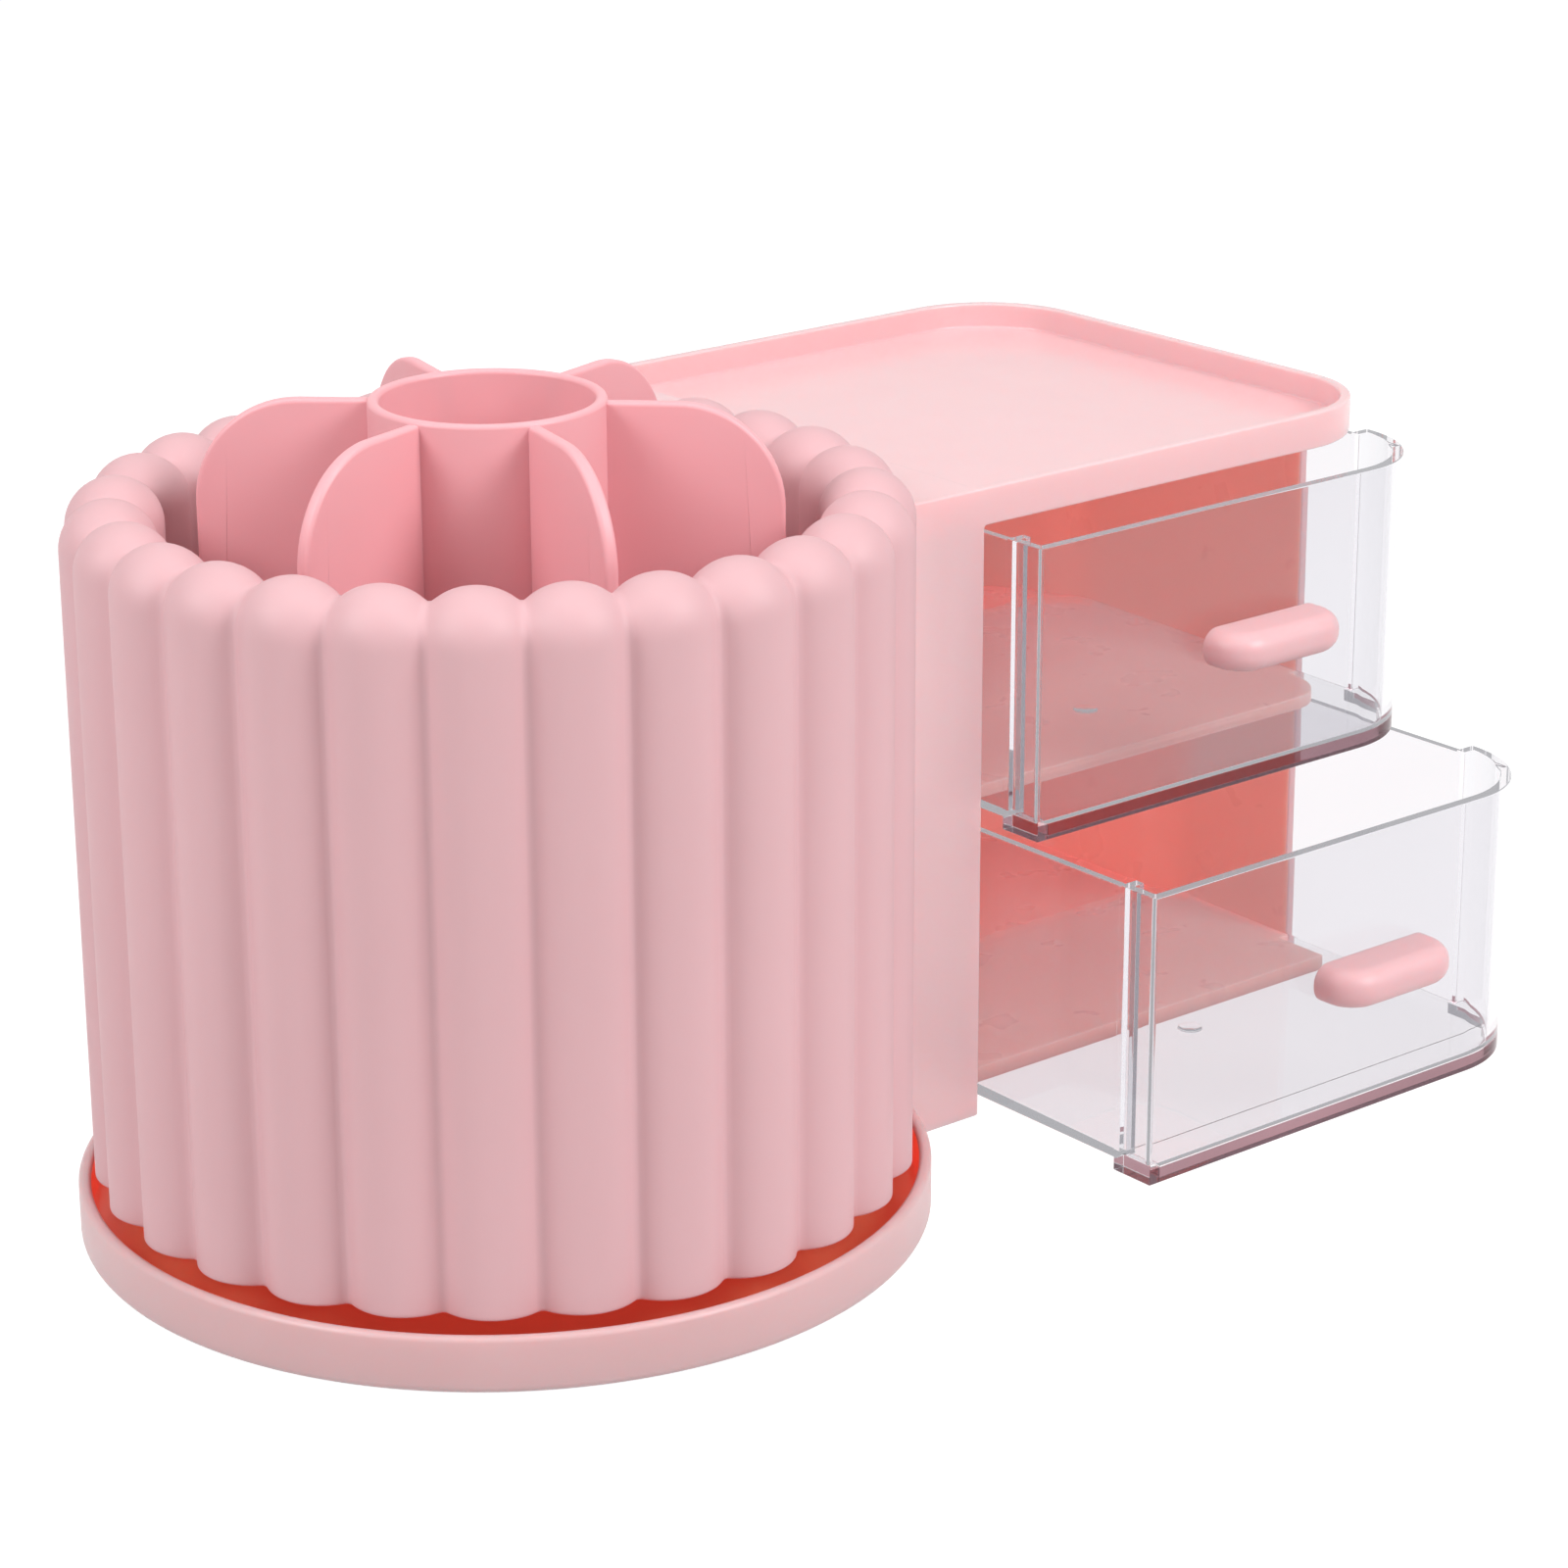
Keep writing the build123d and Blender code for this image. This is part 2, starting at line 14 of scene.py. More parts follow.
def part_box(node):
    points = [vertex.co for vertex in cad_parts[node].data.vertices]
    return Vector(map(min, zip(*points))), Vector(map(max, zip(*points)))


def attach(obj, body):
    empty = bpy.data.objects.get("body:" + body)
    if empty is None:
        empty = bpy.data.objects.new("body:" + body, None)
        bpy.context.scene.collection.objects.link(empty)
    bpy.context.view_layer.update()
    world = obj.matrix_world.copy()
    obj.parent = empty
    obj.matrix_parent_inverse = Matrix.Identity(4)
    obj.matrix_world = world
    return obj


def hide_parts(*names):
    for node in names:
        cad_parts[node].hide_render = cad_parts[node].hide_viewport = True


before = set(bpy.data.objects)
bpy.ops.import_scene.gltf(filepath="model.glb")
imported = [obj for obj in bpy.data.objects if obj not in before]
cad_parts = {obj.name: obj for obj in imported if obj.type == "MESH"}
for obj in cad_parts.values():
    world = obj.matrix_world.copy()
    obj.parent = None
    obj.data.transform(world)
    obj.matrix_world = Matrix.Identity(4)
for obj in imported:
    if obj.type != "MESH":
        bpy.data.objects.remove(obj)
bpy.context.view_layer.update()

bl_info = {
    "name": "Rotating desk organiser",
    "version": (1, 0, 0),
    "blender": (4, 5, 0),
    "location": "3D View > Sidebar > Organiser",
    "description": "Builds the fluted cup, its insert, the cabinet, the clear drawers and their finishes",
    "category": "Object",
}

MM = 0.001


def edges_of(node):
    """Lowest and highest corner of a CAD node, in metres."""
    low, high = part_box(node)
    return np.array(low), np.array(high)


# ---- Settings ----


def length(name, description, millimetres):
    """A length property, its default given in millimetres."""
    return bpy.props.FloatProperty(
        name=name, description=description, default=millimetres * MM, unit="LENGTH", subtype="DISTANCE"
    )


def number(name, description, value):
    """A property that is a plain number."""
    return bpy.props.FloatProperty(name=name, description=description, default=value)


def colour(name, description, red, green, blue):
    """A colour property, its default given in scene-linear values."""
    return bpy.props.FloatVectorProperty(
        name=name, description=description, default=(red, green, blue), subtype="COLOR", size=3,
        min=0, max=1,
    )


def turn(name, description, degrees):
    """An angle property, its default given in degrees."""
    return bpy.props.FloatProperty(
        name=name, description=description, default=math.radians(degrees), subtype="ANGLE", unit="ROTATION"
    )


class CupSizes(bpy.types.PropertyGroup):
    """Sizes of the fluted cup, the dish under it and the insert in it."""

    rib_count: bpy.props.IntProperty(name="Ribs", description="Upright ribs round the cup", default=27)
    rib_turn: turn("Rib turn", "Direction of the first rib", 5.7)
    rib_circle: length("Rib circle", "Radius of the circle that the rib centres stand on", 63.7)
    rib_depth: length("Rib depth", "One rib from the inside to the outside", 16.8)
    rib_breadth: length("Rib breadth", "One rib across, as a whole oval", 19.0)
    valley: length("Valley", "Half the width of the soft valley between two ribs", 0.8)
    skin: length("Cup skin", "Wall of the hollow ribs", 2.0)
    floor: length("Cup floor", "Thickness of the cup's floor", 2.5)
    base: length("Cup base", "Height of the cup's lower edge", 11.6)
    height: length("Cup height", "Lower edge of the cup to the top of its ribs", 121.2)
    lip: length("Cup lip", "Rounding of the cup's lower edge", 0.5)
    fillet: length("Floor fillet", "Rounding between the cup's floor and its wall", 2.0)
    boss: length("Boss", "Radius of the ring on the cup's floor that the insert's tube stands round", 17.6)
    boss_wall: length("Boss wall", "Wall of that ring", 2.0)
    boss_top: length("Boss top", "Height of the top of that ring", 20.9)
    bore: length("Bore", "Radius of the bore for the bush", 10.09)
    hub: length("Hub", "Outer radius of the hub round the bush", 12.49)
    runner: length("Runner", "Radius of the ring below the cup that slides on the glide ring", 30.0)
    runner_half: length("Runner half", "Half the thickness of that ring", 1.5)
    runner_base: length("Runner base", "Height of the lower end of that ring", 5.6)
    dish_wall: length("Dish wall", "Thickness of the dish's rim", 2.2)
    dish_rim: length("Dish rim", "Height of the dish's rim", 10.1)
    plate: length("Floor plate", "Thickness of the dish's floor and of the plate in the cabinet", 3.0)
    post: length("Post", "Radius of the pivot post in the dish", 8.0)
    neck: length("Neck", "Width of the strip between the dish and the plate", 28.0)
    tube_radius: length("Tube radius", "Outside radius of the insert's tube", 20.1)
    tube_wall: length("Tube wall", "Wall of the insert's tube", 2.0)
    fin_count: bpy.props.IntProperty(name="Fins", description="Fins round the insert's tube", default=6)
    fin_turn: turn("Fin turn", "Direction of the first fin", -102.6)
    fin_radius: length("Fin radius", "Outer edge of the fins", 49.8)
    fin_thickness: length("Fin thickness", "Thickness of a fin", 2.5)
    fin_corner: length("Fin corner", "Round shoulder of a fin", 18.0)
    fin_edge: length("Fin edge", "Rounding of a fin's edges", 0.8)
    fin_drop: length("Fin drop", "Top of a fin below the tube's rim", 0.6)


class CabinetSizes(bpy.types.PropertyGroup):
    """Sizes of the cabinet, its shelf, the drawers and their pulls."""

    wall: length("Wall", "Thickness of the cabinet's walls", 2.0)
    saddle: length("Saddle", "Radius of the hollow side that the dish nests in", 75.5)
    pillar: length("Pillar", "Width of the closed part beside the saddle", 14.2)
    corner: length("Corner", "Radius of the large upright corners", 21.8)
    back_corner: length("Back corner", "Radius of the back corner on the cup's side", 6.0)
    rim: length("Rim", "Height of the rim round the top tray", 5.0)
    rim_step: length("Rim step", "Left rim of the tray beyond the bay wall", 1.3)
    tray_floor: length("Tray floor", "Thickness of the top tray's floor", 2.0)
    wall_setback: length("Wall setback", "Cabinet's front to the front edge of its right wall", 22.6)
    plate_gap: length("Plate gap", "Gap between the floor plate and the cabinet's wall", 0.15)
    plate_right: length("Plate right", "Right edge of the plate in front of the right wall", 190.5)
    plate_edge: length("Plate edge", "Rounding of the floor plate's edges", 0.25)
    shelf_edge: length("Shelf edge", "Rounding of the shelf's edges", 0.3)
    plate_setback: length("Plate setback", "Cabinet's front to the front edge of the floor plate", 10.4)
    edge: length("Edge", "Rounding of the mouldings' edges", 0.45)
    drawer_edge: length("Drawer edge", "Rounding of the clear drawers' edges", 0.19)
    drawer_wall: length("Drawer wall", "Thickness of a drawer's front", 2.2)
    drawer_band: length("Drawer band", "Height of the floor's edge along a drawer's front", 3.0)
    lip: length("Lip", "Thickness of the lip that hangs below a drawer's front", 2.6)
    lip_drop: length("Lip drop", "Lip below the drawer's bottom", 2.2)
    lip_depth: length("Lip depth", "Depth of the block behind the lip at its left end", 9.4)
    tab: length("Tab", "Width of the block at the lip's left end", 4.1)
    band_depth: length("Band depth", "Reach of the band along the drawer's sides", 23.5)
    gate_radius: length("Gate radius", "Moulding gate on a drawer's floor", 2.3)
    gate_height: length("Gate height", "Height of the moulding gate", 0.4)
    gate_back: length("Gate back", "Moulding gate behind the drawer's front", 43.2)
    gate_side: length("Gate side", "Moulding gate left of the drawer's middle", 1.3)
    gate_root: length("Gate root", "Part of the moulding gate inside the floor", 0.2)
    drawer_floor: length("Drawer floor", "Top of a drawer's floor above its lowest edge", 4.6)
    pull_edge: length("Pull edge", "Rounding of the pulls", 3.4)
    pull_corner: length("Pull corner", "Round ends of the pulls seen from above", 7.2)


class Finishes(bpy.types.PropertyGroup):
    """Colours of the finishes, in scene-linear values."""

    shell: colour("Shell pink", "Cabinet, shelf and dish", 0.880, 0.528, 0.548)
    # Painted light: the inside coral is a brighter, redder copy of the shell pink for the bays, shelf and
    # floor plate, standing in for light let through the walls and bounced inside
    inside: colour("Inside coral", "Drawer bays, lit through their pink walls", 0.950, 0.520, 0.490)
    dish: colour("Dish pink", "Outside of the dish", 0.670, 0.445, 0.455)
    # Painted light: the pan's deep red, with a painted glow, stands in for light bounced in the narrow gap
    # between the cup and the dish
    pan: colour("Pan coral", "Floor of the dish, deep under the cup", 0.950, 0.200, 0.110)
    cup: colour("Cup pink", "Fluted cup", 0.705, 0.425, 0.450)
    insert: colour("Insert coral", "Divider insert and cap", 0.890, 0.425, 0.460)
    pull: colour("Pull pink", "Drawer pulls", 0.760, 0.475, 0.500)
    clear: colour("Clear", "Clear drawers", 0.870, 0.863, 0.885)
    # Painted shade: the band's dark mauve stands in for the dark below seen through the drawers' clear lower
    # front edge
    band: colour("Band", "Lower edge of the clear drawers' fronts", 0.160, 0.055, 0.070)
    glide: colour("Glide white", "Glide ring and bush", 0.800, 0.800, 0.770)
    steel: colour("Steel", "Screws and washer", 0.560, 0.570, 0.590)


class StageSettings(bpy.types.PropertyGroup):
    """Camera, floor and lamps."""

    target: bpy.props.FloatVectorProperty(
        name="Target", description="Point that the camera looks at", default=(0.06224, -0.00152, 0.06513),
        size=3, subtype="XYZ", unit="LENGTH",
    )
    distance: length("Distance", "Camera to target", 794.32)
    yaw: turn("Yaw", "Camera's turn round the object", -39.12)
    pitch: turn("Pitch", "Camera's height above the horizon, as an angle", 19.15)
    roll: turn("Roll", "Camera's roll", -0.22)
    focal: number("Focal length", "In millimetres of a 36 mm sensor", 100.7)
    floor_size: length("Floor size", "Half the side of the floor", 6000.0)
    key_power: number("Key", "Power of the right lamp", 8.6)
    fill_power: number("Fill", "Power of the left lamp", 6.2)
    top_power: number("Top", "Power of the lamp above", 4.2)
    ambient: number("Ambient", "World light on the object", 0.40)


# ---- Mesh helpers ----


def grid_faces(rows, columns, close_rows=False, close_columns=True):
    """Quads of a grid of rows x columns points, numbered row by row, with either way joined round."""
    row = np.arange(rows if close_rows else rows - 1)[:, None]
    column = np.arange(columns if close_columns else columns - 1)[None, :]
    next_row = (row + 1) % rows
    next_column = (column + 1) % columns
    corners = (
        row * columns + column,
        row * columns + next_column,
        next_row * columns + next_column,
        next_row * columns + column,
    )
    return np.stack([np.broadcast_to(c, (row.size, column.size)) for c in corners], axis=-1).reshape(-1, 4)


def new_object(name, points, faces, sharp_degrees=38.0):
    """Object of that name at the origin; smooth, with edges over sharp_degrees kept sharp."""
    mesh = bpy.data.meshes.new(name)
    mesh.from_pydata(np.asarray(points, float).tolist(), [], [list(map(int, f)) for f in faces])
    mesh.validate()
    mesh.shade_smooth()
    mesh.set_sharp_from_angle(angle=math.radians(sharp_degrees))
    thing = bpy.data.objects.new(name, mesh)
    bpy.context.scene.collection.objects.link(thing)
    return thing


def round_corners(points, radii, steps=6):
    """Outline or path through points, each corner replaced by an arc of its radius.

    An arc of radius r starts and ends r * tan(half the turn) from its corner, and its points are the
    centre plus r times the turned start direction.
    """
    points = np.asarray(points, float)
    result = []
    for here, before, after, radius in zip(points, np.roll(points, 1, 0), np.roll(points, -1, 0), radii):
        if radius <= 0:
            result.append(here[None])
            continue
        towards = (before - here) / np.linalg.norm(before - here)
        away = (after - here) / np.linalg.norm(after - here)
        half = math.acos(np.clip(np.dot(towards, away), -1, 1)) / 2
        middle = (towards + away) / np.linalg.norm(towards + away)
        centre = here + middle * radius / math.sin(half)
        first = here + towards * radius / math.tan(half) - centre
        last = here + away * radius / math.tan(half) - centre
        sweep = math.atan2(first[0] * last[1] - first[1] * last[0], np.dot(first, last))
        angle = np.linspace(0, sweep, steps + 1)
        spin = np.stack([np.cos(angle), -np.sin(angle), np.sin(angle), np.cos(angle)], 1).reshape(-1, 2, 2)
        result.append(centre + spin @ first)
    return np.concatenate(result)


def inset(outline, amount):
    """Closed outline moved inwards by amount, each point along the mean of its two edges' normals.

    The outline runs counter-clockwise, so inwards is to the left of each edge. A point moves by
    amount / cos(half its turn), which keeps the edges parallel.
    """
    edge = np.roll(outline, -1, 0) - outline
    edge /= np.linalg.norm(edge, axis=1)[:, None]
    normal = np.stack([-edge[:, 1], edge[:, 0]], 1)
    mean = normal + np.roll(normal, 1, 0)
    mean /= np.linalg.norm(mean, axis=1)[:, None]
    stretch = np.sum(mean * normal, axis=1)
    return outline + mean * (amount / np.maximum(stretch, 0.3))[:, None]


def prism(outline, low, high, edge, steps=4):
    """Points and faces of an upright prism with rounded upper and lower edges.

    Ring k lies inset by edge * (1 - sin a) at height low + edge * (1 - cos a), a from 0 to 90 degrees,
    and the same again at the top. Both ends are closed by one face.
    """
    if edge > 0:
        angle = np.linspace(0, math.pi / 2, steps + 1)
        support = edge + min(0.6 * edge, (high - low - 2 * edge) / 3)
        rise = np.append(edge * (1 - np.cos(angle)), support)
        insets = np.append(edge * (1 - np.sin(angle)), 0)
    else:
        rise = insets = np.zeros(1)
    levels = np.concatenate([low + rise, (high - rise)[::-1]])
    depths = np.concatenate([insets, insets[::-1]])
    rings = [np.column_stack([inset(outline, d) if d > 0 else outline, np.full(len(outline), z)])
             for d, z in zip(depths, levels)]
    count = len(outline)
    faces = [list(f) for f in grid_faces(len(rings), count)]
    faces.append(list(range(count))[::-1])
    faces.append([(len(rings) - 1) * count + i for i in range(count)])
    return np.concatenate(rings), faces


def lathe(profile, segments, closed):
    """Points and faces of a profile (radius, height) turned round the Z axis.

    The profile runs up the outside. An open one starts and ends on the axis, and its ends become fans.
    """
    profile = np.asarray(profile, float)
    angle = np.linspace(0, 2 * math.pi, segments, endpoint=False)
    middle = profile if closed else profile[1:-1]
    points = np.stack(
        [
            middle[:, :1] * np.cos(angle)[None],
            middle[:, :1] * np.sin(angle)[None],
            np.broadcast_to(middle[:, 1:], (len(middle), segments)),
        ],
        axis=-1,
    ).reshape(-1, 3)
    faces = [list(f) for f in grid_faces(len(middle), segments, close_rows=closed)]
    if not closed:
        start, end = len(points), len(points) + 1
        points = np.concatenate([points, [[0, 0, profile[0, 1]], [0, 0, profile[-1, 1]]]])
        last = (len(middle) - 1) * segments
        faces += [[start, (i + 1) % segments, i] for i in range(segments)]
        faces += [[end, last + i, last + (i + 1) % segments] for i in range(segments)]
    return points, faces


def finish_piece(thing, material, body, slot, *nodes):
    """Gives a piece its material and its body and hides the CAD nodes that it stands for; slot is not used.
    """
    thing.data.materials.clear()
    thing.data.materials.append(material)
    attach(thing, body)
    if nodes:
        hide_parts(*nodes)


def face_table(thing):
    """Centres and normals of the object's faces, in metres."""
    count = len(thing.data.polygons)
    centres, normals = np.empty(count * 3), np.empty(count * 3)
    thing.data.polygons.foreach_get("center", centres)
    thing.data.polygons.foreach_get("normal", normals)
    return centres.reshape(-1, 3), normals.reshape(-1, 3)


def second_finish(thing, material, chosen):
    """Gives the chosen faces a second material."""
    thing.data.materials.append(material)
    thing.data.polygons.foreach_set("material_index", np.where(chosen, len(thing.data.materials) - 1, 0))


def finish_node(node, material):
    """Gives a CAD node that stays in view its material."""
    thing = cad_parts[node]
    thing.data.materials.clear()
    thing.data.materials.append(material)


def applied(thing):
    """The object with its modifiers worked into its mesh."""
    mesh = bpy.data.meshes.new_from_object(thing.evaluated_get(bpy.context.evaluated_depsgraph_get()))
    thing.modifiers.clear()
    old = thing.data
    thing.data = mesh
    bpy.data.meshes.remove(old)
    return thing


def combine(thing, operation, *others):
    """Takes the others' volumes from the object, or adds them to it, and removes the others."""
    for other in others:
        tool = thing.modifiers.new("combine", "BOOLEAN")
        tool.operation = operation
        tool.solver = "EXACT"
        tool.object = other
        bpy.context.view_layer.update()
        applied(thing)
        bpy.data.objects.remove(other)


def soft_edges(thing, width, segments=3, sharp_degrees=30.0):
    """Bevels the object's sharp edges and keeps its flat faces flat."""
    bevel = thing.modifiers.new("soft_edges", "BEVEL")
    bevel.width = width
    bevel.segments = segments
    bevel.limit_method = "ANGLE"
    bevel.angle_limit = math.radians(sharp_degrees)
    bevel.use_clamp_overlap = False
    bevel.harden_normals = False
    bevel.miter_outer = "MITER_ARC"
    applied(thing)
    thing.data.shade_smooth()
    thing.data.set_sharp_from_angle(angle=math.radians(60))
    weighted = thing.modifiers.new("flat_faces", "WEIGHTED_NORMAL")
    weighted.keep_sharp = True
    weighted.mode = "FACE_AREA"
    weighted.weight = 100


def clean_copy(node, name, cut_height=None, slope=None):
    """A copy of a CAD node's mesh with its loose triangles merged into plain faces.

    It is cut level at cut_height if that is given. slope (near y, far y, low z, high z) lays the points
    at either height on one plane, low + (high - low) * (y - near) / (far - near).
    """
    work = bmesh.new()
    work.from_mesh(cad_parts[node].data)
    if slope:
        near, far, low, high = slope
        for corner in work.verts:
            if min(abs(corner.co.z - low), abs(corner.co.z - high)) < 1e-5:
                corner.co.z = low + (high - low) * (corner.co.y - near) / (far - near)
    bmesh.ops.remove_doubles(work, verts=work.verts, dist=1e-6)
    bmesh.ops.dissolve_limit(work, angle_limit=math.radians(0.6), verts=work.verts, edges=work.edges)
    if cut_height:
        everything = [*work.verts, *work.edges, *work.faces]
        bmesh.ops.bisect_plane(work, geom=everything, plane_co=(0, 0, cut_height), plane_no=(0, 0, 1))
    mesh = bpy.data.meshes.new(name)
    work.to_mesh(mesh)
    work.free()
    thing = bpy.data.objects.new(name, mesh)
    bpy.context.scene.collection.objects.link(thing)
    return thing


# ---- Materials ----


def new_material(name):
    """Material with a Principled shader; returns it with its tree and shader."""
    material = bpy.data.materials.new(name)
    material.use_nodes = True
    tree = material.node_tree
    shader = tree.nodes["Principled BSDF"]
    return material, tree, shader


def object_noise(tree, scale, detail, rough=0.5):
    """Noise on Object coordinates, scale in cells a metre."""
    place = tree.nodes.new("ShaderNodeTexCoord")
    noise = tree.nodes.new("ShaderNodeTexNoise")
    noise.inputs["Scale"].default_value = scale
    noise.inputs["Detail"].default_value = detail
    noise.inputs["Roughness"].default_value = rough
    tree.links.new(place.outputs["Object"], noise.inputs["Vector"])
    return noise.outputs["Fac"]


def ranged(tree, value, low, high):
    """Maps noise, which stays mostly between 0.3 and 0.7, to low and high."""
    step = tree.nodes.new("ShaderNodeMapRange")
    step.inputs["From Min"].default_value = 0.3
    step.inputs["From Max"].default_value = 0.7
    step.inputs["To Min"].default_value = low
    step.inputs["To Max"].default_value = high
    tree.links.new(value, step.inputs["Value"])
    return step.outputs["Result"]


def tinted(tree, shader, base, spread, noise):
    """Base colour that drifts between a shade darker and a shade lighter by spread."""
    mix = tree.nodes.new("ShaderNodeMix")
    mix.data_type = "RGBA"
    mix.inputs["A"].default_value = (*[c * (1 - spread) for c in base], 1)
    mix.inputs["B"].default_value = (*[min(c * (1 + spread), 1) for c in base], 1)
    tree.links.new(noise, mix.inputs["Factor"])
    tree.links.new(mix.outputs["Result"], shader.inputs["Base Color"])


def bumped(tree, shader, height, strength, distance):
    """Bump on the shader's normal."""
    bump = tree.nodes.new("ShaderNodeBump")
    bump.inputs["Strength"].default_value = strength
    bump.inputs["Distance"].default_value = distance
    tree.links.new(height, bump.inputs["Height"])
    tree.links.new(bump.outputs["Normal"], shader.inputs["Normal"])


def satin_plastic(name, base, rough, grain, glow, reach=0.0035, coat=0.0):
    """Moulded plastic: slow drift of colour, fine grain, and light that goes reach deep into it."""
    material, tree, shader = new_material(name)
    tinted(tree, shader, base, 0.02, ranged(tree, object_noise(tree, 14, 2), 0, 1))
    gloss = ranged(tree, object_noise(tree, 90, 3), rough - 0.04, rough + 0.04)
    tree.links.new(gloss, shader.inputs["Roughness"])
    bumped(tree, shader, object_noise(tree, 2600, 2), grain, 0.00004)
    shader.inputs["IOR"].default_value = 1.5
    shader.inputs["Subsurface Weight"].default_value = glow
    shader.inputs["Subsurface Radius"].default_value = (1.0, 0.35, 0.3)
    shader.inputs["Subsurface Scale"].default_value = reach
    shader.inputs["Coat Weight"].default_value = coat
    shader.inputs["Coat Roughness"].default_value = 0.22
    return material


def painted_glow_plastic(name, base, rough, grain, tone, strength):
    """Moulded plastic with a painted glow: an emission that stands in for light let through the thin walls
    round it and bounced between them.
    """
    material = satin_plastic(name, base, rough, grain, 1.0, 0.012)
    shader = material.node_tree.nodes["Principled BSDF"]
    shader.inputs["Emission Color"].default_value = (*tone, 1)
    shader.inputs["Emission Strength"].default_value = strength
    return material


def combined(tree, operation, first, second):
    """Result of a Math node on an output and on an output or a number."""
    step = tree.nodes.new("ShaderNodeMath")
    step.operation = operation
    tree.links.new(first, step.inputs[0])
    if isinstance(second, float):
        step.inputs[1].default_value = second
    else:
        tree.links.new(second, step.inputs[1])
    return step.outputs["Value"]


def chosen_shader(tree, factor, first, second):
    """The first shader where factor is 0 and the second where it is 1."""
    mix = tree.nodes.new("ShaderNodeMixShader")
    tree.links.new(factor, mix.inputs["Fac"])
    tree.links.new(first, mix.inputs[1])
    tree.links.new(second, mix.inputs[2])
    return mix.outputs["Shader"]


def clear_plastic(name, base, spread, ior):
    """Clear polished plastic with the faint waviness of the moulding.

    Light on its way to a matt surface goes straight through, and rays that have passed through the walls for
    more bounces than most end on a painted pale haze, an emission that stands in for light guided along the
    walls.
    """
    most_bounces = 5.5
    material, tree, shader = new_material(name)
    tinted(tree, shader, base, spread, ranged(tree, object_noise(tree, 20, 1), 0, 1))
    tree.links.new(ranged(tree, object_noise(tree, 60, 2), 0.008, 0.03), shader.inputs["Roughness"])
    bumped(tree, shader, object_noise(tree, 45, 1), 0.02, 0.0002)
    shader.inputs["Transmission Weight"].default_value = 1.0
    shader.inputs["IOR"].default_value = ior
    path = tree.nodes.new("ShaderNodeLightPath")
    straight = tree.nodes.new("ShaderNodeBsdfTransparent")
    straight.inputs["Color"].default_value = (0.95, 0.95, 0.95, 1)
    # Painted haze: an emission, no lamp, for rays past most bounces
    haze = tree.nodes.new("ShaderNodeEmission")
    haze.inputs["Color"].default_value = (0.45, 0.45, 0.47, 1)
    to_matt = combined(tree, "MAXIMUM", path.outputs["Is Shadow Ray"], path.outputs["Is Diffuse Ray"])
    late = combined(tree, "GREATER_THAN", path.outputs["Ray Depth"], most_bounces)
    look = chosen_shader(tree, to_matt, shader.outputs["BSDF"], straight.outputs["BSDF"])
    look = chosen_shader(tree, late, look, haze.outputs["Emission"])
    tree.links.new(look, tree.nodes["Material Output"].inputs["Surface"])
    return material


def zinc_steel(name, base):
    """Zinc-plated steel with fine turned marks."""
    material, tree, shader = new_material(name)
    tinted(tree, shader, base, 0.05, ranged(tree, object_noise(tree, 300, 3), 0, 1))
    tree.links.new(ranged(tree, object_noise(tree, 1500, 3), 0.28, 0.42), shader.inputs["Roughness"])
    bumped(tree, shader, object_noise(tree, 3000, 2), 0.12, 0.00003)
    shader.inputs["Metallic"].default_value = 1.0
    return material


def finishes():
    """All materials, made once: each has its maker, its colour and the maker's other values."""
    colours = bpy.context.scene.organiser_finishes
    recipes = {
        "pink_shell": (
            satin_plastic, colours.shell, dict(rough=0.34, grain=0.10, glow=0.6, reach=0.006, coat=0.8)
        ),
        # Painted light: the inside coral with a painted glow of emission, standing in for light let through
        # the walls and bounced inside the bays
        "pink_inside": (
            painted_glow_plastic, colours.inside, dict(rough=0.30, grain=0.10, tone=(1.0, 0.34, 0.31), strength=0.2)
        ),
        "pink_dish": (satin_plastic, colours.dish, dict(rough=0.36, grain=0.10, glow=0.6, reach=0.006)),
        # Painted light: deep red copy of the pink with a painted glow of emission for the dish's floor under
        # the cup
        "pink_pan": (
            painted_glow_plastic, colours.pan, dict(rough=0.35, grain=0.10, tone=(1.0, 0.10, 0.06), strength=0.22)
        ),
        "dusty_pink": (satin_plastic, colours.cup, dict(rough=0.55, grain=0.14, glow=0.10)),
        "coral_pink": (satin_plastic, colours.insert, dict(rough=0.42, grain=0.12, glow=0.12)),
        "pull_pink": (satin_plastic, colours.pull, dict(rough=0.40, grain=0.08, glow=0.7, reach=0.004)),
        "white_glide": (satin_plastic, colours.glide, dict(rough=0.45, grain=0.05, glow=0.05)),
        "clear_plastic": (clear_plastic, colours.clear, dict(spread=0.006, ior=1.27)),
        # Painted shade: dark copy of the clear plastic for the drawers' lower front edge
        "clear_band": (clear_plastic, colours.band, dict(spread=0.25, ior=1.27)),
        "screw_steel": (zinc_steel, colours.steel, {}),
    }
    return {
        name: bpy.data.materials.get(name + "_finish") or make(name + "_finish", base, **values)
        for name, (make, base, values) in recipes.items()
    }


# ---- Fluted cup ----


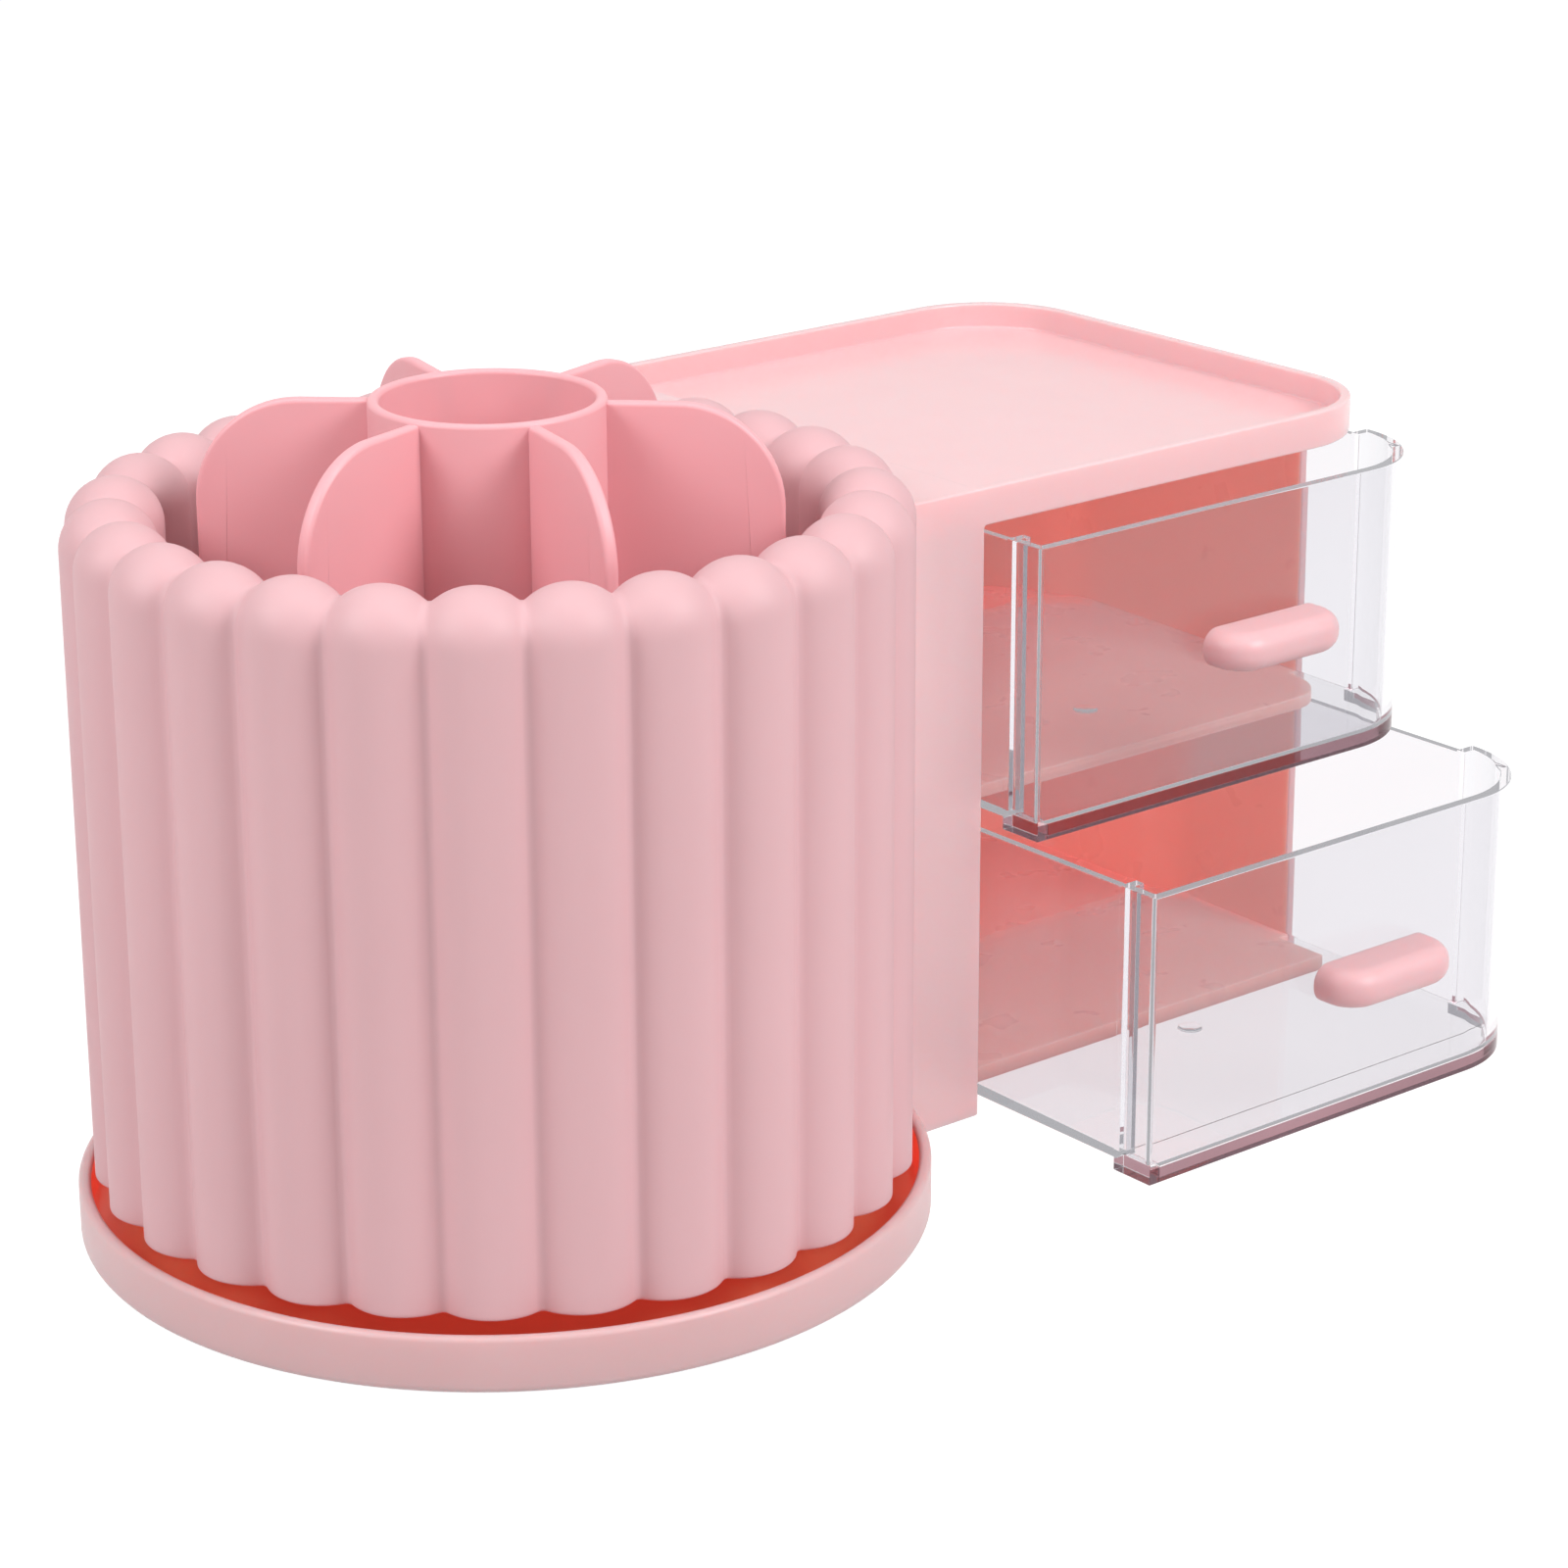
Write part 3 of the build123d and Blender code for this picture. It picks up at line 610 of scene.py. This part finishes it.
def rib_section(sizes, angle):
    """Middle radius and half thickness of the ring of ribs, at each angle round the cup.

    With t the distance sideways from the nearest rib's centre, a rib is an oval: its half thickness
    is (depth / 2) * sqrt(1 - (2 t / breadth)^2), about the circle sqrt(circle^2 - t^2). In the last
    stretch before the valley both follow the parabola that leaves with their slope and ends level.
    """
    step = 2 * math.pi / sizes.rib_count
    offset = (angle - sizes.rib_turn + step / 2) % step - step / 2
    side = np.abs(sizes.rib_circle * np.sin(offset))
    reach = sizes.rib_circle * math.sin(step / 2)
    join = reach - sizes.valley
    half, breadth = sizes.rib_depth / 2, sizes.rib_breadth / 2
    t = np.minimum(side, join)
    root = np.sqrt(1 - (t / breadth) ** 2)
    thick = half * root
    middle = np.sqrt(sizes.rib_circle ** 2 - t ** 2)
    past = side - t
    ease = past * (1 - past / (2 * sizes.valley))
    thick = thick - half * t / (breadth ** 2 * root) * ease
    middle = middle - t / middle * ease
    return middle, thick


def cup_surface(sizes, hub_base):
    """The cup as a closed surface: a section in (radius, height) whose ribs swell and shrink.

    The section runs up the outside, over the dome (middle + thick * cos a, centre + thick * sin a),
    down the inside, over the floor, boss and hub, and through the hollow of the ribs back to the edge.
    """
    angle = np.linspace(0, 2 * math.pi, sizes.rib_count * 22, endpoint=False)
    middle, thick = rib_section(sizes, angle)
    hollow = thick - sizes.skin
    base, floor_top = sizes.base, sizes.base + sizes.floor
    centre = base + sizes.height - sizes.rib_depth / 2
    lip, fillet = sizes.lip, sizes.fillet
    quarter = np.linspace(0, math.pi / 2, 5)
    rows = []

    def row(radius, height):
        rows.append((np.broadcast_to(radius, angle.shape), np.broadcast_to(height, angle.shape)))

    outer, inner = middle + thick, middle - thick
    for a in quarter:
        row(outer - lip + lip * math.sin(a), base + lip - lip * math.cos(a))
    for height in (base + 2 * lip, base + 12 * lip, centre - 12 * lip, centre - lip):
        row(outer, height)
    for a in np.linspace(0, math.pi, 25):
        row(middle + thick * math.cos(a), centre + thick * math.sin(a))
    for height in (centre - lip, centre - 12 * lip, floor_top + fillet + 6 * lip, floor_top + fillet + lip):
        row(inner, height)
    for a in quarter:
        row(inner - fillet + fillet * math.cos(a), floor_top + fillet - fillet * math.sin(a))
    boss, boss_inner = sizes.boss, sizes.boss - sizes.boss_wall
    runner_inner, runner_outer = sizes.runner - sizes.runner_half, sizes.runner + sizes.runner_half
    for radius, height in (
        (boss + 4 * lip, floor_top), (boss, floor_top), (boss, sizes.boss_top), (boss_inner, sizes.boss_top),
        (boss_inner, floor_top), (sizes.bore, floor_top), (sizes.bore, hub_base), (sizes.hub, hub_base),
        (sizes.hub, base), (runner_inner, base), (runner_inner, sizes.runner_base),
        (runner_outer, sizes.runner_base), (runner_outer, base), (runner_outer + 4 * lip, base),
    ):
        row(radius, height)
    row(middle - hollow, base)
    row(middle - hollow, centre)
    for a in np.linspace(math.pi, 0, 9)[1:-1]:
        row(middle + hollow * math.cos(a), centre + hollow * math.sin(a))
    row(middle + hollow, centre)
    row(middle + hollow, base)

    radius = np.stack([r for r, _ in rows])
    height = np.stack([h for _, h in rows])
    points = np.stack([radius * np.cos(angle), radius * np.sin(angle), height], axis=-1).reshape(-1, 3)
    return points, grid_faces(len(rows), len(angle), close_rows=True)


class OBJECT_OT_organiser_cup(bpy.types.Operator):
    """Build the fluted cup"""

    bl_idname = "object.organiser_cup"
    bl_label = "Fluted Cup"

    def execute(self, context):
        sizes = context.scene.organiser_cup
        low, _ = edges_of("fluted_cup")
        cup = new_object("fluted_cup_shell", *cup_surface(sizes, low[2]), 50)
        finish_piece(cup, finishes()["dusty_pink"], "cup", "dusty_pink", "fluted_cup")
        return {"FINISHED"}


# ---- Dish and floor plate ----


def dish_profile(sizes, radius, post_top):
    """Half section of the dish: a round-edged floor, an upright rim with a full round top, and the post."""
    wall, floor, rim, post = sizes.dish_wall, sizes.plate, sizes.dish_rim, sizes.post
    points = [
        (0, 0), (radius, 0), (radius, rim), (radius - wall, rim), (radius - wall, floor),
        (post, floor), (post, post_top), (0, post_top),
    ]
    radii = [0, 1.5 * MM, wall * 0.42, wall * 0.42, 1.6 * MM, 0.6 * MM, 0.4 * MM, 0]
    return round_corners(points, radii, 6)


def saddle_outline(sizes, low, high, amount, steps=28):
    """Closed outline of the cabinet from above, moved inwards by amount.

    Its left side is an arc about the cup's axis, and the other corners are round.
    """
    front, back = low[1] + amount, high[1] - amount
    left, right = sizes.saddle + amount, high[0] - amount
    start = math.asin(front / left)
    turn_angle = np.linspace(0, start, steps)
    saddle = np.stack([left * np.cos(turn_angle), left * np.sin(turn_angle)], 1)
    corners = [(right, front), (right, back), (left, back)]
    radii = [sizes.corner - amount, sizes.corner - amount, max(sizes.back_corner - amount, 0.2 * MM)]
    box = round_corners([saddle[-1], *corners], [0, *radii], 14)
    return np.concatenate([saddle[:-1], box])


class OBJECT_OT_organiser_base(bpy.types.Operator):
    """Build the dish and the floor plate"""

    bl_idname = "object.organiser_base"
    bl_label = "Dish And Floor Plate"

    def execute(self, context):
        sizes, box = context.scene.organiser_cup, context.scene.organiser_cabinet
        low, high = edges_of("base_tray")
        dish_radius = -low[0]
        points, faces = lathe(dish_profile(sizes, dish_radius, high[2]), 240, False)
        dish = new_object("base_dish", points, faces)
        pink = finishes()["pink_dish"]
        finish_piece(dish, pink, "base", "pink_shell", "base_tray")
        # Painted light: the dish's floor inside its rim takes the pan's deep red painted glow
        centre, _ = face_table(dish)
        reach = np.hypot(centre[:, 0], centre[:, 1])
        second_finish(
            dish, finishes()["pink_pan"],
            (reach < dish_radius - sizes.dish_wall * 0.9) & (centre[:, 2] < sizes.dish_rim * 0.9)
            & (centre[:, 2] > 0),
        )
        shell_low, shell_high = edges_of("cabinet_shell")
        gap = box.wall + box.plate_gap
        front, neck_half = shell_low[1], sizes.neck / 2
        setback, wall_front = front + box.plate_setback, front + box.wall_setback
        outline = saddle_outline(box, shell_low, shell_high, gap)
        at_saddle = outline[:, 0] < box.saddle + 2 * gap
        beside_neck = ~(at_saddle & (np.abs(outline[:, 1]) < neck_half))
        before_neck = at_saddle & (outline[:, 1] < 0)
        lower = outline[beside_neck & before_neck]
        rest = outline[beside_neck & ~before_neck & (outline[:, 1] > wall_front)]
        neck_left = dish_radius - sizes.dish_wall / 2
        bay_left = box.saddle + box.pillar
        notch = np.array([
            (bay_left, lower[-1][1]), (bay_left, setback), (box.plate_right, setback),
            (box.plate_right, wall_front), (shell_high[0] - gap, wall_front),
        ])
        loop = np.concatenate([
            [(neck_left, -neck_half)], lower, notch, rest,
            [(box.saddle + gap, neck_half), (neck_left, neck_half)],
        ])
        points, faces = prism(loop, low[2], low[2] + sizes.plate, box.plate_edge, 2)
        plate = new_object("floor_plate", points, faces)
        # Painted light: the floor plate takes the brighter coral copy with its painted glow
        finish_piece(plate, finishes()["pink_inside"], "base", "pink_shell", "base_tray")
        return {"FINISHED"}


# ---- Cabinet ----


class OBJECT_OT_organiser_cabinet(bpy.types.Operator):
    """Build the cabinet shell with its top tray and the shelf between the bays"""

    bl_idname = "object.organiser_cabinet"
    bl_label = "Cabinet"

    def execute(self, context):
        box = context.scene.organiser_cabinet
        plate = context.scene.organiser_cup.plate
        low, high = edges_of("cabinet_shell")
        past = 3 * MM
        tray_top = high[2] - box.rim
        ceiling = tray_top - box.tray_floor
        bay_left, bay_right = box.saddle + box.pillar, high[0] - box.wall
        front, back = low[1], high[1] - box.wall
        shell = new_object("cabinet_body", *prism(saddle_outline(box, low, high, 0), 0, high[2], 0))
        inside = saddle_outline(box, low, high, box.wall)
        hollow_right = bay_left - box.wall
        hollow = inside[inside[:, 0] < hollow_right]
        lower = hollow[hollow[:, 1] <= 0]
        upper = hollow[hollow[:, 1] > 0]
        lower = lower[np.argsort(-lower[:, 1])]
        upper = upper[np.argsort(-upper[:, 1])]
        hollow = np.concatenate([lower, [(hollow_right, front + box.wall), (hollow_right, back)], upper])
        corner_steps = np.linspace(0, math.pi / 2, 15)
        radius = box.corner - box.wall
        corner = np.array([bay_right, back]) - radius + radius * np.stack(
            [np.cos(corner_steps), np.sin(corner_steps)], 1
        )
        wall_front = front + box.wall_setback
        bay = np.concatenate([
            [(bay_left, front - past), (high[0] + past, front - past), (high[0] + past, wall_front),
             (bay_right, wall_front)],
            corner,
            [(bay_left, back)],
        ])
        foot = np.array([
            (hollow_right - past, front + box.wall), (bay_left + past, front + box.wall),
            (bay_left + past, back), (hollow_right - past, back),
        ])
        tray = tray_outline(box, low, high, bay_left - box.rim_step)
        cutters = [
            new_object("hollow_cut", *prism(hollow, -past, ceiling, 0)),
            new_object("bay_cut", *prism(bay, -past, ceiling, 0)),
            new_object("foot_cut", *prism(foot, -past, plate, 0)),
            new_object("tray_cut", *prism(tray, tray_top, high[2] + past, 0)),
        ]
        combine(shell, "DIFFERENCE", *cutters)
        soft_edges(shell, box.edge)
        finish_piece(shell, finishes()["pink_shell"], "base", "pink_shell", "cabinet_shell")
        # Painted light: the faces inside the bays take the brighter coral copy with its painted glow
        centre, _ = face_table(shell)
        second_finish(
            shell, finishes()["pink_inside"],
            (centre[:, 0] > bay_left - 0.1 * MM) & (centre[:, 0] < bay_right + 0.1 * MM)
            & (centre[:, 1] > front + box.edge * 1.2) & (centre[:, 1] < back + 0.1 * MM)
            & (centre[:, 2] > box.edge * 1.2) & (centre[:, 2] < ceiling + 0.1 * MM),
        )
        shelf = clean_copy("drawer_shelf", "bay_shelf")
        soft_edges(shelf, box.shelf_edge, 2)
        # Painted light: the shelf takes the brighter coral copy with its painted glow
        finish_piece(shelf, finishes()["pink_inside"], "base", "pink_shell", "drawer_shelf")
        return {"FINISHED"}


def tray_outline(box, low, high, left):
    """Outline of the top tray: square at the left, with the cabinet's round corners at the right."""
    front, back, right = low[1] + box.wall, high[1] - box.wall, high[0] - box.wall
    radius = box.corner - box.wall
    corners = [(left, front), (right, front), (right, back), (left, back)]
    return round_corners(corners, [1.2 * MM, radius, radius, 1.2 * MM], 14)


# ---- Insert ----


def fin_surface(sizes, angle, base, top):
    """One fin: its outline in (radius, height) as a prism of the fin's thickness, turned to its angle.

    A point (r, z, s) of the prism goes to (r cos a + s sin a, r sin a - s cos a, z).
    """
    inner = sizes.tube_radius - sizes.tube_wall * 0.6
    corners = [(inner, base), (sizes.fin_radius, base), (sizes.fin_radius, top), (inner, top)]
    outline = round_corners(corners, [0, 0.5 * MM, sizes.fin_corner, 0], 20)
    half = sizes.fin_thickness / 2
    points, faces = prism(outline, -half, half, sizes.fin_edge, 4)
    radius, height, side = points[:, 0], points[:, 1], points[:, 2]
    across = radius * math.cos(angle) + side * math.sin(angle)
    along = radius * math.sin(angle) - side * math.cos(angle)
    return np.stack([across, along, height], axis=1), faces


def joined(parts):
    """Points and faces of several surfaces as one mesh."""
    points, faces, start = [], [], 0
    for some_points, some_faces in parts:
        points.append(some_points)
        faces += [[start + int(i) for i in face] for face in some_faces]
        start += len(some_points)
    return np.concatenate(points), faces


class OBJECT_OT_organiser_insert(bpy.types.Operator):
    """Build the divider insert"""

    bl_idname = "object.organiser_insert"
    bl_label = "Divider Insert"

    def execute(self, context):
        sizes = context.scene.organiser_cup
        low, high = edges_of("divider_insert")
        outer, inner = sizes.tube_radius, sizes.tube_radius - sizes.tube_wall
        ends = [(outer, low[2]), (outer, high[2]), (inner, high[2]), (inner, low[2])]
        rim = sizes.tube_wall * 0.42
        tube = lathe(round_corners(ends, [0.3 * MM, rim, rim, 0.3 * MM], 5), 120, True)
        turns = sizes.fin_turn + np.arange(sizes.fin_count) * 2 * math.pi / sizes.fin_count
        fins = [fin_surface(sizes, a, low[2], high[2] - sizes.fin_drop) for a in turns]
        insert = new_object("divider_body", *joined([tube, *fins]))
        finish_piece(insert, finishes()["coral_pink"], "insert", "coral_pink", "divider_insert")
        return {"FINISHED"}


# ---- Drawers and pulls ----


def pull_surface(sizes, low, high, front):
    """A pull: the prism of a bar with round ends, its edges rounded except along the drawer's front."""
    corners = [(low[0], low[1]), (high[0], low[1]), (high[0], front), (low[0], front)]
    outline = round_corners(corners, [sizes.pull_corner, sizes.pull_corner, 0, 0], 14)
    points, faces = prism(outline, low[2], high[2], sizes.pull_edge, 12)
    at_front = np.tile(outline[:, 1] >= front - 1e-9, len(points) // len(outline))
    points[at_front, 1] = front
    return points, faces


def under_cut(sizes, low, high):
    """Space below a drawer's front section, behind the lip, with an arc inside the round corner."""
    tab, front, radius = low[0] + sizes.tab, low[1], sizes.corner - sizes.lip
    centre = np.array([high[0] - sizes.corner, front + sizes.corner])
    angle = np.linspace(-math.pi / 2, math.asin((sizes.lip_depth - sizes.corner) / radius), 12)
    outline = np.concatenate([
        [(tab, front + sizes.lip)],
        centre + radius * np.stack([np.cos(angle), np.sin(angle)], 1),
        [(tab, front + sizes.lip_depth)],
    ])
    return new_object("under_cut", *prism(outline, low[2] - MM, low[2] + sizes.lip_drop, 0))


def moulding_gate(sizes, middle, back, slope):
    """Low round stub on a drawer's sloping floor: slope is near y, far y, low z and high z."""
    radius, height = sizes.gate_radius, sizes.gate_height
    gate = new_object("gate", *lathe(
        [(0, -sizes.gate_root), (radius, -sizes.gate_root), (radius, height * 0.6), (radius * 0.8, height),
         (0, height)], 32, False))
    near, far, floor_low, floor_high = slope
    gate.location = (
        middle - sizes.gate_side, back, floor_low + (floor_high - floor_low) * (back - near) / (far - near)
    )
    return gate


class OBJECT_OT_organiser_drawers(bpy.types.Operator):
    """Build both clear drawers and their pulls"""

    bl_idname = "object.organiser_drawers"
    bl_label = "Drawers And Pulls"

    def execute(self, context):
        sizes = context.scene.organiser_cabinet
        for place in ("lower", "upper"):
            body, tray_node, pull_node = f"{place}_drawer", f"{place}_drawer_tray", f"{place}_drawer_pull"
            low, high = edges_of(tray_node)
            front = low[1]
            band_top, floor_top = low[2] + sizes.drawer_band, low[2] + sizes.drawer_floor
            slope = (front + sizes.drawer_wall, high[1] - sizes.drawer_wall, band_top, floor_top)
            tray = clean_copy(tray_node, f"{place}_tray", band_top, slope)
            middle = (low[0] + high[0]) / 2
            combine(tray, "DIFFERENCE", under_cut(sizes, low, high))
            combine(tray, "UNION", moulding_gate(sizes, middle, front + sizes.gate_back, slope))
            soft_edges(tray, sizes.drawer_edge, 2)
            finish_piece(tray, finishes()["clear_plastic"], body, "clear_plastic", tray_node)
            # Painted shade: the lower front edge of each drawer takes the dark band copy of the clear plastic
            centre, normal = face_table(tray)
            second_finish(
                tray, finishes()["clear_band"],
                (centre[:, 2] < band_top) & (np.abs(normal[:, 2]) < 0.5) & (normal[:, 0] > -0.5)
                & (centre[:, 1] < front + sizes.band_depth) & (normal[:, 1] < 0.5),
            )
            pull = new_object(f"{place}_pull", *pull_surface(sizes, *edges_of(pull_node), front), 50)
            finish_piece(pull, finishes()["pull_pink"], body, "pull_pink", pull_node)
        return {"FINISHED"}


# ---- Hidden pieces ----


class OBJECT_OT_organiser_pivot(bpy.types.Operator):
    """Finish the pivot, the glide ring and the screws, which keep their own shapes"""

    bl_idname = "object.organiser_pivot"
    bl_label = "Pivot And Screws"

    def execute(self, context):
        looks = finishes()
        for node, slot in (
            ("glide_ring", "white_glide"), ("pivot_bush", "white_glide"), ("pivot_cap", "coral_pink"),
            ("pivot_washer", "screw_steel"), ("pivot_screw", "screw_steel"), ("case_screws", "screw_steel"),
        ):
            finish_node(node, looks[slot])
        return {"FINISHED"}


# ---- Stage ----


def seen_rays(tree):
    """1 for camera, glossy and transmission rays, otherwise 0."""
    path = tree.nodes.new("ShaderNodeLightPath").outputs
    seen = combined(tree, "MAXIMUM", path["Is Camera Ray"], path["Is Glossy Ray"])
    return combined(tree, "MAXIMUM", seen, path["Is Transmission Ray"])


def floor_material():
    """Pale floor that the camera, gloss and glass see as nearly white, with the object's soft shadow."""
    material = bpy.data.materials.new("pale_floor")
    material.use_nodes = True
    tree = material.node_tree
    tree.nodes.clear()
    output = tree.nodes.new("ShaderNodeOutputMaterial")
    matt = tree.nodes.new("ShaderNodeBsdfDiffuse")
    matt.inputs["Color"].default_value = (0.72, 0.70, 0.70, 1)
    shadowed = tree.nodes.new("ShaderNodeBsdfDiffuse")
    shadowed.inputs["Color"].default_value = (0.24, 0.24, 0.24, 1)
    white = tree.nodes.new("ShaderNodeEmission")
    white.inputs["Strength"].default_value = 0.92
    both = tree.nodes.new("ShaderNodeAddShader")
    tree.links.new(shadowed.outputs["BSDF"], both.inputs[0])
    tree.links.new(white.outputs["Emission"], both.inputs[1])
    look = chosen_shader(tree, seen_rays(tree), matt.outputs["BSDF"], both.outputs["Shader"])
    tree.links.new(look, output.inputs["Surface"])
    return material


def light_world(strength):
    """World that looks white and lights the object at strength."""
    world = bpy.data.worlds.new("studio")
    world.use_nodes = True
    bpy.context.scene.world = world
    tree = world.node_tree
    tree.nodes.clear()
    output = tree.nodes.new("ShaderNodeOutputWorld")
    lit = tree.nodes.new("ShaderNodeBackground")
    lit.inputs["Strength"].default_value = strength
    white = tree.nodes.new("ShaderNodeBackground")
    white.inputs["Strength"].default_value = 1.0
    look = chosen_shader(tree, seen_rays(tree), lit.outputs["Background"], white.outputs["Background"])
    tree.links.new(look, output.inputs["Surface"])


def soft_lamp(name, direction, distance, size, power, target):
    """Square area lamp that shines at the target from a direction."""
    data = bpy.data.lights.new(name, "AREA")
    data.shape = "SQUARE"
    data.size = size
    data.energy = power
    lamp = bpy.data.objects.new(name, data)
    bpy.context.scene.collection.objects.link(lamp)
    away = Vector(direction).normalized()
    lamp.location = Vector(target) + away * distance
    lamp.rotation_euler = away.to_track_quat("Z", "Y").to_euler()


class OBJECT_OT_organiser_stage(bpy.types.Operator):
    """Set the floor, the world, the lamps and the camera"""

    bl_idname = "object.organiser_stage"
    bl_label = "Stage"

    def execute(self, context):
        stage = context.scene.organiser_stage
        half = stage.floor_size
        corners = [(-half, -half, 0), (half, -half, 0), (half, half, 0), (-half, half, 0)]
        floor = new_object("floor", corners, [(0, 1, 2, 3)])
        floor.data.materials.append(floor_material())
        light_world(stage.ambient)
        target = Vector(stage.target)
        yaw, pitch, roll = stage.yaw, stage.pitch, stage.roll
        back = Vector((math.sin(yaw) * math.cos(pitch), -math.cos(yaw) * math.cos(pitch), math.sin(pitch)))
        level = Vector((math.cos(yaw), math.sin(yaw), 0))
        upright = back.cross(level)
        right = math.cos(roll) * level + math.sin(roll) * upright
        up = back.cross(right)
        data = bpy.data.cameras.new("photo_view")
        data.lens = stage.focal
        data.sensor_width = 36
        camera = bpy.data.objects.new("photo_view", data)
        context.scene.collection.objects.link(camera)
        camera.matrix_world = Matrix.Translation(target + back * stage.distance) @ Matrix(
            (right, up, back)
        ).transposed().to_4x4()
        context.scene.camera = camera
        lift = Vector((0, 0, 1))
        for name, direction, distance, size, power in (
            ("key_lamp", back * 0.8 + level * 1.3 + lift * 0.9, 1.2, 0.5, stage.key_power),
            ("fill_lamp", back * 0.8 - level * 1.2 + lift * 0.8, 1.2, 0.5, stage.fill_power),
            ("top_lamp", lift + back * 0.15, 1.1, 0.9, stage.top_power),
        ):
            soft_lamp(name, direction, distance, size, power, target)
        context.scene.view_settings.view_transform = "Standard"
        return {"FINISHED"}


# ---- Panel and registration ----

STEPS = (
    OBJECT_OT_organiser_base,
    OBJECT_OT_organiser_cabinet,
    OBJECT_OT_organiser_cup,
    OBJECT_OT_organiser_insert,
    OBJECT_OT_organiser_drawers,
    OBJECT_OT_organiser_pivot,
    OBJECT_OT_organiser_stage,
)
GROUPS = {
    "organiser_cup": CupSizes,
    "organiser_cabinet": CabinetSizes,
    "organiser_finishes": Finishes,
    "organiser_stage": StageSettings,
}


class VIEW3D_PT_organiser(bpy.types.Panel):
    """Lists the organiser's pieces and settings"""

    bl_idname = "VIEW3D_PT_organiser"
    bl_label = "Desk Organiser"
    bl_space_type = "VIEW_3D"
    bl_region_type = "UI"
    bl_category = "Organiser"

    def draw(self, context):
        for step in STEPS:
            self.layout.operator(step.bl_idname)
        for group in GROUPS:
            settings = getattr(context.scene, group)
            box = self.layout.box()
            for name in settings.__annotations__:
                box.prop(settings, name)


def register():
    for group in GROUPS.values():
        bpy.utils.register_class(group)
    for step in STEPS:
        bpy.utils.register_class(step)
    bpy.utils.register_class(VIEW3D_PT_organiser)
    for name, group in GROUPS.items():
        setattr(bpy.types.Scene, name, bpy.props.PointerProperty(type=group))


def unregister():
    for name in GROUPS:
        delattr(bpy.types.Scene, name)
    bpy.utils.unregister_class(VIEW3D_PT_organiser)
    for step in reversed(STEPS):
        bpy.utils.unregister_class(step)
    for group in reversed(list(GROUPS.values())):
        bpy.utils.unregister_class(group)


def main():
    """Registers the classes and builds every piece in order."""
    register()
    bpy.ops.object.organiser_base()
    bpy.ops.object.organiser_cabinet()
    bpy.ops.object.organiser_cup()
    bpy.ops.object.organiser_insert()
    bpy.ops.object.organiser_drawers()
    bpy.ops.object.organiser_pivot()
    bpy.ops.object.organiser_stage()
    bpy.context.view_layer.update()


if __name__ == "__main__":
    main()
